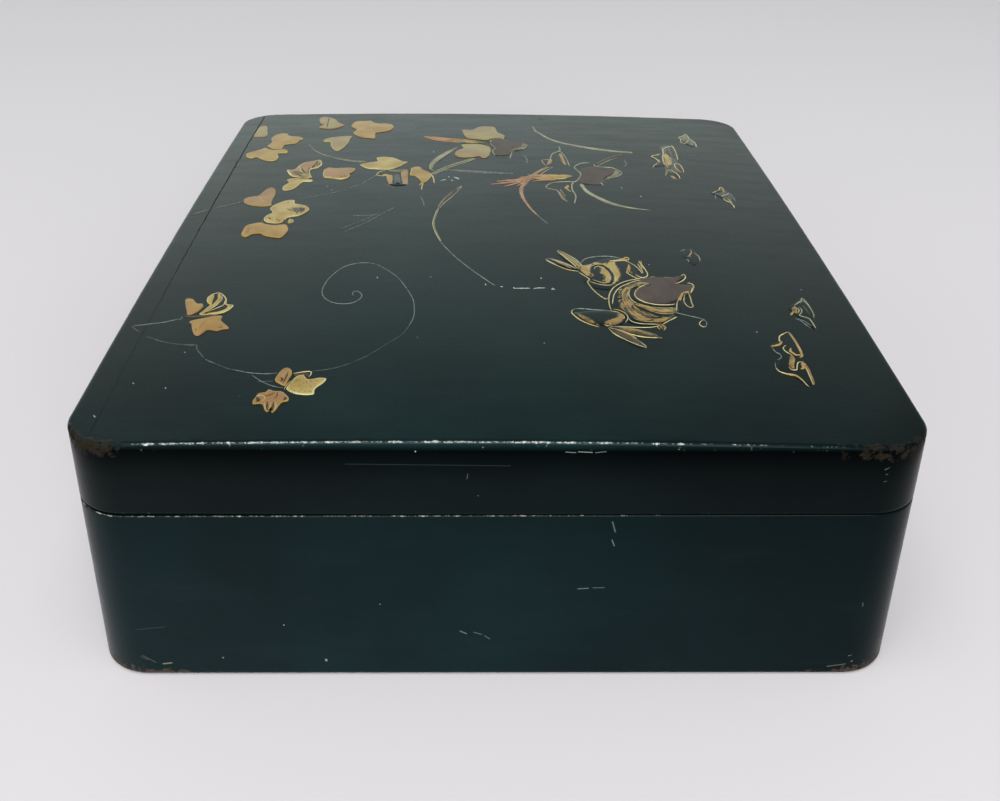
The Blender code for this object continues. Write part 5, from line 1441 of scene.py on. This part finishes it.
hareLines += brushed(31, ((53.4, -44), (52.8, -49), (53.6, -53)), (0.4, 0.7, 0.7), 12, (3, 6), (0.3, 0.5),
                     ("yellow", "ochre"))
hareLines += brushed(32, ((58.3, -38.4), (58.4, -42), (58.7, -47)), (0.7, 0.5, 0.3), 12, (3, 6), (0.3, 0.5),
                     ("yellow", "ochre"))
hareLines += brushed(33, ((50, -38.4), (52.4, -37.6), (54, -39.4)), (0.6, 1.2, 0.8), 14, (2, 4), (0.3, 0.6),
                     ("yellow", "ochre"))
hareLines += brushed(34, ((58.4, -96.6), (59.3, -98.8), (59.3, -100.8)), (0.9, 0.9, 0.5), 12, (2, 4), (0.3, 0.5),
                     ("fill", "orange"))
hareLines += (("ochre", 1.2, ((41.6, -101.2), (44.6, -103.8), (47.4, -106.6), (49, -108.6))),
              ("ochre", 0.7, ((44, -100.9), (48, -102.1), (52, -104.2), (56, -106.6))))
hareLines += brushed(35, ((42, -100.4), (47.6, -102.6), (52, -104.8), (56.4, -107.4)), (0.6, 1.5, 1.3, 0.3), 20, (5, 10),
                     (0.3, 0.5), ("fill", "ochre", "fill"))
hareLines += brushed(36, ((41.4, -102), (44.6, -106.4), (48, -110.8), (50.8, -115)), (0.5, 1.4, 1.0, 0.2), 16, (5, 10),
                     (0.3, 0.5), ("fill", "rose", "umber"))
harePatches = (
    # gold brushed over the raised bodies
    ("yellow", 0.7, 1.0, ((25.8, -30), (29.4, -34.5), (32.6, -39.6), (34.6, -45), (36, -48.6), (33.2, -48.6),
                          (30.6, -42.8), (28, -37.2))),
    ("yellow", 1.5, 1.0, ((33.4, -47), (36.4, -43.6), (39.6, -42), (38.2, -46), (37.6, -51), (37.6, -55), (35.6, -55),
                          (34, -51.6))),
    ("yellow", 1.3, 1.0, ((38.6, -42.6), (40.2, -40.8), (42.6, -42), (45, -40.8), (46.6, -38.9), (51, -37.8),
                          (53.4, -39.2), (50, -40), (48.2, -41.6), (48.9, -47), (49.2, -53), (47.8, -58.6),
                          (45.4, -63.6), (43.6, -65), (45.2, -60.4), (45.9, -55.6), (45.6, -51), (44.2, -46.4),
                          (42.2, -43.8), (40, -44))),
    ("yellow", 1.3, 1.0, ((40.8, -45), (43, -46), (45, -51), (45.4, -56), (44.4, -60.6), (42.6, -62), (42, -58.6),
                          (42.6, -55), (40.9, -52.4), (41.6, -48.6))),
    ("fill", 1.5, 1.0, ((59.8, -62), (55.4, -60.2), (51.2, -63.6), (48.2, -67.4), (46.7, -72.3), (47, -75.9),
                        (45.8, -80.5), (45.8, -85), (48.2, -89.6), (50, -93.6), (54, -95.8), (59, -96), (62.6, -93.6),
                        (66, -89.4), (62.4, -91.4), (58.4, -92.6), (54.6, -90.2), (53, -87), (50.4, -84),
                        (51.8, -80.2), (50.2, -76), (50, -71), (52, -66.4), (55.4, -63.8), (59, -64))),
    ("fill", 1.3, 1.0, ((52, -79.6), (56, -82.4), (61, -83.8), (67.2, -82.6), (66.6, -87.2), (62, -89),
                        (57.6, -87.8), (54, -84.4))),
    ("fill", 1.4, 0.9, ((47, -84), (50.4, -86), (54.4, -90.6), (57, -94.4), (52, -94.6), (48.6, -90))),
    ("fill", 1.1, 1.0, ((44.2, -88.2), (46.6, -90.6), (45.6, -95.4), (42.6, -98.8), (39.2, -98.9), (38.6, -96),
                        (41.4, -93.6), (43.4, -92))),
    ("umber", 0.8, 1.0, ((40.6, -99.6), (46, -100.4), (51.4, -102.6), (55.2, -105.2), (58, -107.9), (53, -107.6),
                         (48, -105.6), (44, -102.4))),
    ("umber", 0.8, 1.0, ((40.4, -101), (45.6, -105), (48.8, -109.6), (51.2, -115), (47.6, -112.4), (43.6, -108),
                         (41.4, -104.6))),
    ("fill", 1.0, 0.9, ((28.4, -88.4), (30.6, -90), (34, -93.6), (36, -97.4), (33.4, -97.2), (30.4, -94))),
)
groundLines = (
    ("ochre", 0.9, ((105, -100.8), (105.6, -107.5), (105.8, -114.2), (105.6, -118.6), (104.4, -120.4))),
    ("pale", 0.5, ((105.2, -100.8), (105.9, -107.5), (106.1, -114.2), (105.8, -119.2))),
    ("pale", 0.5, ((104.8, -100.6), (102.1, -102.8), (100.6, -105), (100.3, -108.4))),
    ("ochre", 1.1, ((100.8, -108.6), (99.4, -110.8), (97.4, -112), (96, -112.4))),
    ("pale", 0.4, ((104.4, -100.8), (101.2, -103.6), (100.2, -106.8), (99.8, -109))),
    ("black", 0.5, ((102.2, -111.6), (100.9, -113.4), (101.2, -116), (102.9, -118.6))),
    ("pale", 0.4, ((101.6, -111.3), (100.2, -113.3), (100.4, -116), (102.2, -118.8))),
    ("ochre", 1.2, ((102.8, -113.6), (102.2, -116), (103.6, -118.6), (105.2, -118.2))),
    ("fill", 1.8, ((102, -118.8), (101.4, -122), (100.2, -126), (100.4, -128.6))),
    ("fill", 1.0, ((105, -124), (105.2, -130), (105, -136), (104.8, -139.2))),
    ("pale", 0.45, ((104.5, -123.7), (104.8, -130), (104.6, -136), (104.5, -139.4))),
    ("pale", 0.45, ((105, -123.7), (103, -124), (101.8, -127.4), (101, -129.6), (99.4, -129.2), (99, -127.4))),
    ("ochre", 1.7, ((104, -124.8), (104.2, -127.4), (102.8, -128.8))),
    ("pale", 0.4, ((94.4, -128), (95, -130.6), (97.6, -132.3), (100, -133.2), (101.3, -136), (102.2, -139.4),
                    (102.8, -140.8))),
    ("ochre", 0.5, ((95.4, -131.6), (98, -133), (100.2, -134.2), (101.2, -136.6))),
    ("vine", 0.4, ((96.2, -113), (96.8, -116.4), (98, -118.6), (97.8, -120.8), (96, -122.6))),
    ("vine", 0.35, ((95, -124), (94.4, -127.6))),
    ("silver", 0.6, ((112.4, -77.8), (114.2, -75.6), (116, -73.4), (116.8, -71), (117.6, -73.6), (118, -79), (117.9, -85),
                   (117.2, -88.2))),
    ("vine", 0.6, ((115, -75.8), (116.8, -73.8), (117.4, -76.4))),
    ("silver", 0.5, ((113.6, -79.7), (114.3, -81), (113.6, -84), (112.2, -86.4), (113.4, -87.6), (115, -88.8),
                   (115.6, -91), (115.8, -97.4))),
    ("fill", 2.0, ((112.2, -79), (111.6, -81), (111.4, -83.4), (111.6, -85))),
    ("ochre", 1.0, ((111, -82.8), (110, -84.6), (109, -86.4))),
    ("pale", 0.4, ((112.6, -79.8), (113.2, -82), (112.2, -84.6))),
    ("vine", 0.4, ((110, -88.8), (111.6, -90.6), (112.4, -93), (114, -97))),
    ("vine", 0.35, ((111.4, -89), (113, -91.4), (114.6, -95.6))),
    ("umber", 0.9, ((115.6, -78), (116, -82), (116.2, -86))),
    ("silver", 0.5, ((81.1, -25.4), (81, -28.6), (79.8, -31.2), (78.7, -33.6))),
    ("orange", 0.9, ((80.6, -30.2), (79.6, -32), (80, -33.6))),
    ("silver", 0.45, ((82, -29), (83.3, -32), (83.4, -35.4), (83, -37.8))),
    ("vine", 0.6, ((78.8, -24.8), (78, -26.2), (76.6, -27))),
    ("vine", 0.7, ((77.6, -36), (78.4, -36.8), (78.4, -38.6))),
    ("pale", 0.6, ((94.4, 122.4), (94.9, 118), (94.8, 110), (94.4, 102), (93.8, 96.8))),
    ("umber", 1.6, ((93.6, 119), (93.4, 112), (93, 106), (92.8, 100))),
    ("pale", 0.7, ((94, 121), (91, 118.4), (88.8, 114.8), (88.2, 109), (87, 102), (86.2, 95), (86, 88))),
    ("yellow", 2.6, ((89, 106), (88.8, 100), (88.6, 94), (88.2, 87))),
    ("orange", 1.0, ((87.2, 94), (86.8, 88), (87, 83))),
    ("umber", 1.5, ((91, 114), (90.6, 108), (91, 101))),
    ("pale", 0.4, ((90.4, 111), (90.4, 105), (90.6, 98), (89.8, 90))),
    ("umber", 1.0, ((88.8, 90), (88.6, 86), (88.8, 83))),
    ("pale", 0.6, ((86.4, 106.8), (84.6, 104.8), (82.2, 103), (81.2, 100.8), (82.6, 98.4), (83.8, 94), (83.2, 90.6),
                   (80.8, 87), (79.6, 83))),
    ("olive", 1.0, ((83.9, 96), (84.2, 92.4), (82.4, 89))),
    ("pale", 0.5, ((92.6, 91), (91.2, 89.6), (90.8, 84), (91.8, 79), (92.6, 76.2))),
    ("pale", 0.6, ((92.8, 91), (94, 88), (94.2, 82), (93.8, 76.4))),
    ("umber", 2.0, ((92.6, 88.6), (92.8, 84), (92.6, 79.4))),
    ("pale", 0.6, ((88.2, 80.8), (88.8, 77), (90.4, 72), (90.6, 66.8))),
    ("olive", 2.6, ((87, 81), (87.4, 78.4), (88, 75.6))),
    ("olive", 1.0, ((85.8, 81), (85.4, 76), (84, 71))),
    ("orange", 0.9, ((87.4, 70.6), (88.2, 67.8), (88.6, 65.6))),
    ("pale", 0.4, ((86.6, 71), (87.4, 68), (87.6, 66))),
    ("olive", 3.6, ((104, 141), (103.4, 136.4), (102.8, 131.6))),
    ("pale", 0.5, ((100.8, 139.4), (103, 141), (105.4, 144.6), (105.8, 139), (105.4, 135))),
    ("pale", 0.5, ((100.6, 139), (101, 134), (100.2, 129.4), (102.6, 127.4), (104, 131), (105.6, 133.6))),
    ("pale", 0.6, ((105.4, 135.6), (107, 132.4), (107.8, 127), (107.4, 121.4))),
    ("olive", 1.6, ((105.8, 130.6), (105.8, 126.8), (104.8, 123.4))),
    ("pale", 0.6, ((102.6, 46.4), (104.2, 48.4), (106.4, 50.4), (107.8, 55), (108.8, 54), (108.7, 48.6))),
    ("umber", 2.0, ((104.6, 47.6), (106.8, 49.4), (107.8, 51.6))),
    ("orange", 0.7, ((107.6, 52.6), (108.2, 49.4), (108, 47))),
    ("vine", 0.6, ((103.6, 44.2), (103.3, 41), (102.5, 38.2))),
    ("pale", 0.6, ((110.6, 47.6), (109.4, 45), (107.2, 43.6), (106.2, 41.6))),
    ("vine", 0.6, ((111, 47.6), (111.6, 41), (111.6, 36.8))),
    ("umber", 1.6, ((109.6, 44), (109, 41.4), (108.4, 39.6))),
    ("pale", 0.6, ((106.6, 39.8), (107.2, 36.8), (108.8, 33.8), (109.6, 29), (109.2, 26.6))),
    ("pale", 0.4, ((108.4, 40), (109, 36.6), (109.8, 33))),
)
groundPatches = (
    ("umber", 3.0, 0.40, ((88, 119), (94, 121), (94.6, 104), (93, 98), (94, 84), (92, 77), (88, 74), (85.4, 82),
                          (86.4, 96), (88, 108))),
    ("umber", 2.0, 0.38, ((101, 139), (106, 142), (106.6, 134), (107.4, 126), (105, 123), (103, 128), (101, 130))),
    ("umber", 2.0, 0.38, ((103.6, 47), (108, 53), (110.4, 46), (110.6, 38), (108.6, 36), (106.4, 41))),
)
paintMarks = (
    (1.0, ((1.6, -65.6), (2.6, -66.2))), (1.3, ((6.6, -66.6), (7.2, -67.6))), (0.8, ((7.4, -67.2), (13, -67.1))),
    (0.9, ((14.2, -67.6), (15.6, -66.8), (18.8, -66.6))), (1.0, ((21.2, -68.2), (21.6, -66.8), (22.2, -68.2))),
    (0.9, ((-46.2, -57), (-46, -58.2))), (0.9, ((-25.2, -57), (-25.6, -57.4))), (0.9, ((-4.2, -63.4), (-4, -64.6))),
    (0.9, ((17.6, -57), (17.6, -58.2))), (0.6, ((-28.5, -108.6), (-28.3, -109.4))), (0.6, ((16.2, -112.6), (16, -113.4))),
    (1.6, ((-18.4, 62.8), (-16.6, 61.4), (-16.2, 60))), (1.2, ((-19.6, 58.6), (-18.4, 57.4))),
    (0.6, ((-20.8, 64.6), (-20.6, 61.8))), (1.1, ((-24.8, 57.6), (-22.8, 58.4))), (0.8, ((-23.6, 59.2), (-21.6, 59))),
    (0.7, ((61, 50), (60, 51.4))), (1.0, ((68.4, 40), (68.2, 38.4))), (0.6, ((-77.5, 50.5), (-77, 49))),
    (0.5, ((-74.6, 45.4), (-74.4, 43.6))), (0.8, ((-109, -143.4), (-108.6, -144.4))), (0.7, ((-120.4, -140), (-119.8, -140.8))),
    (0.8, ((-127.6, -160.4), (-126.8, -161.6))), (0.6, ((-108, -119), (-107.4, -119.4))), (0.5, ((93, -101), (93.6, -101.6))),
    (0.6, ((61.4, -42), (62, -42.4))), (0.5, ((118.6, -62.4), (118.4, -63.4))), (0.6, ((-29.4, 105), (-29, 102.6))),
)
darkSpecks = (
    (1.4, ((-39.2, 150.4), (-38.6, 147))), (1.1, ((-36, 154), (-36.2, 151))), (1.1, ((-50.4, 105.6), (-50, 104))),
    (1.6, ((27, 169.2), (29.4, 168.8))), (0.9, ((10.8, -20), (11.2, -20.6))), (0.8, ((-84, -150), (-83.4, -150.4))),
)


def drawLines(form, lines):
    for tone in tones:
        strokes = [(lineWidth, points) for kind, lineWidth, points in lines if kind == tone]
        if strokes:
            addLines(form, reliefTree, strokes, slotOf[tone])


def drawPatches(form, patches):
    for order, (tone, soft, most, points) in enumerate(patches):
        addPatch(form, reliefTree, points, slotOf[tone], soft, 0.03 + 0.012 * order, most)


ivyLineForm = pictureForm()
drawPatches(ivyLineForm, ivyPatches)
drawLines(ivyLineForm, ivyLines)
stemForm = pictureForm()
drawLines(stemForm, stemLines)
flowerLineForm = pictureForm()
drawLines(flowerLineForm, flowerLines)
hareLineForm = pictureForm()
drawPatches(hareLineForm, harePatches)
drawLines(hareLineForm, hareLines)
groundLineForm = pictureForm()
drawPatches(groundLineForm, groundPatches)
drawLines(groundLineForm, groundLines)
markForm = pictureForm()
addLines(markForm, reliefTree, paintMarks, slotOf["white"], 0.2)
addLines(markForm, reliefTree, darkSpecks, slotOf["umber"], 0.2)

finishPicture("ivy_leaves", ivyForm, 1.7)
finishPicture("ivy_veins", ivyLineForm, 1.7)
finishPicture("stems_and_tendrils", stemForm, 0.9)
finishPicture("iris_petals", flowerForm, 1.5)
finishPicture("iris_outlines", flowerLineForm, 1.5)
finishPicture("grass_blades", grassForm, 1.2)
finishPicture("hare_bodies", hareForm, 0.9)
finishPicture("hare_outlines", hareLineForm, 0.9)
finishPicture("ground_tufts", tuftForm, 0.9)
finishPicture("ground_outlines", groundLineForm, 0.9)
finishPicture("knock_marks_on_lid", markForm, 0.9)
print("picture laid on the lid")


# Floor, light and camera

roomLook = {
    "floorColour": "#dcd6da",
    "skyTint": "#f2fffa",
    "floorSize": 60.0,
    "haze": 0.3,              # brightness where the floor ends, as dim as the far floor
    "horizon": 1.12,          # of the room's lower part
    "above": 0.16,            # and of its dim upper part
    "zenith": 0.3,
    "keyPower": 124,
    "keySize": 4.0,
    "keyPlace": (-0.3, -1.7, 4.3),
    "lowPower": 112,          # the low light in front, which clears the floor at the foot
    "lowSize": 2.2,
    "lowPlace": (0.2, -3.2, 1.15),
}


def makeRoom(look):
    floorForm = bmesh.new()
    bmesh.ops.create_grid(floorForm, x_segments=2, y_segments=2, size=look["floorSize"] / 2)
    mesh = bpy.data.meshes.new("pale_floor")
    floorForm.to_mesh(mesh)
    floorForm.free()
    floorPiece = bpy.data.objects.new("pale_floor", mesh)
    bpy.context.scene.collection.objects.link(floorPiece)
    floorPiece.location.z = -0.0002
    material, tree, shader, place = newMaterial("matt_white_paper")
    shader.inputs["Base Color"].default_value = linearColour(look["floorColour"])
    shader.inputs["Roughness"].default_value = 0.9
    shader.inputs["Specular IOR Level"].default_value = 0.0
    mesh.materials.append(material)

    world = bpy.data.worlds.new("studio")
    bpy.context.scene.world = world
    world.use_nodes = True
    tree = world.node_tree
    direction = addNode(tree, "ShaderNodeTexCoord").outputs["Generated"]
    parts = addNode(tree, "ShaderNodeSeparateXYZ", None, {"Vector": direction})
    rise = addNode(tree, "ShaderNodeValToRGB", {"stops": (
        (0.0, look["haze"]), (0.10, look["horizon"]), (0.30, look["horizon"]), (0.42, 0.66), (0.59, look["above"]),
        (0.80, look["above"]), (1.0, look["zenith"]))}, {"Fac": parts.outputs["Z"]})
    side = addNode(tree, "ShaderNodeMapRange", None,
                   {"Value": parts.outputs["X"], "From Min": -1.0, "From Max": 1.0, "To Min": 1.25, "To Max": 0.95})
    sky = addNode(tree, "ShaderNodeMix", {"data_type": "RGBA", "blend_type": "MULTIPLY"},
                  {"Factor": 1.0, "A": rise.outputs["Color"], "B": side.outputs["Result"]})
    tinted = addNode(tree, "ShaderNodeMix", {"data_type": "RGBA", "blend_type": "MULTIPLY"},
                     {"Factor": 1.0, "A": sky.outputs["Result"], "B": look["skyTint"]})
    tree.links.new(tinted.outputs["Result"], tree.nodes["Background"].inputs["Color"])

    for name, part in (("softbox", "key"), ("low_softbox", "low")):
        lamp = bpy.data.lights.new(name, "AREA")
        lamp.shape = "SQUARE"
        lamp.size = look[part + "Size"]
        lamp.energy = look[part + "Power"]
        lampObject = bpy.data.objects.new(name, lamp)
        lampObject.location = look[part + "Place"]
        lampObject.rotation_euler = (-lampObject.location).to_track_quat("-Z", "Y").to_euler()
        bpy.context.scene.collection.objects.link(lampObject)


cameraLook = {
    "place": (-8.454 * mm, -488.486 * mm, 278.976 * mm),
    "pitch": 0.508,      # radians below level
    "yaw": 0.025,
    "roll": 0.016,
    "lens": 43.14,
}


def makeCamera(look):
    pitch, yaw, roll = look["pitch"], look["yaw"], look["roll"]
    ahead = Vector((math.sin(yaw) * math.cos(pitch), math.cos(yaw) * math.cos(pitch), -math.sin(pitch)))
    right = Vector((math.cos(yaw), -math.sin(yaw), 0))
    up = right.cross(ahead)
    rolledRight = math.cos(roll) * right + math.sin(roll) * up
    rolledUp = math.cos(roll) * up - math.sin(roll) * right
    camera = bpy.data.objects.new("camera", bpy.data.cameras.new("camera"))
    camera.data.lens = look["lens"]
    camera.data.sensor_width = 36
    bpy.context.scene.collection.objects.link(camera)
    turn = Matrix((rolledRight, rolledUp, -ahead)).transposed().to_4x4()
    turn.translation = Vector(look["place"])
    camera.matrix_world = turn
    bpy.context.scene.camera = camera


makeRoom(roomLook)
makeCamera(cameraLook)
bpy.context.scene.view_settings.view_transform = "Standard"
print("room, light and camera set")
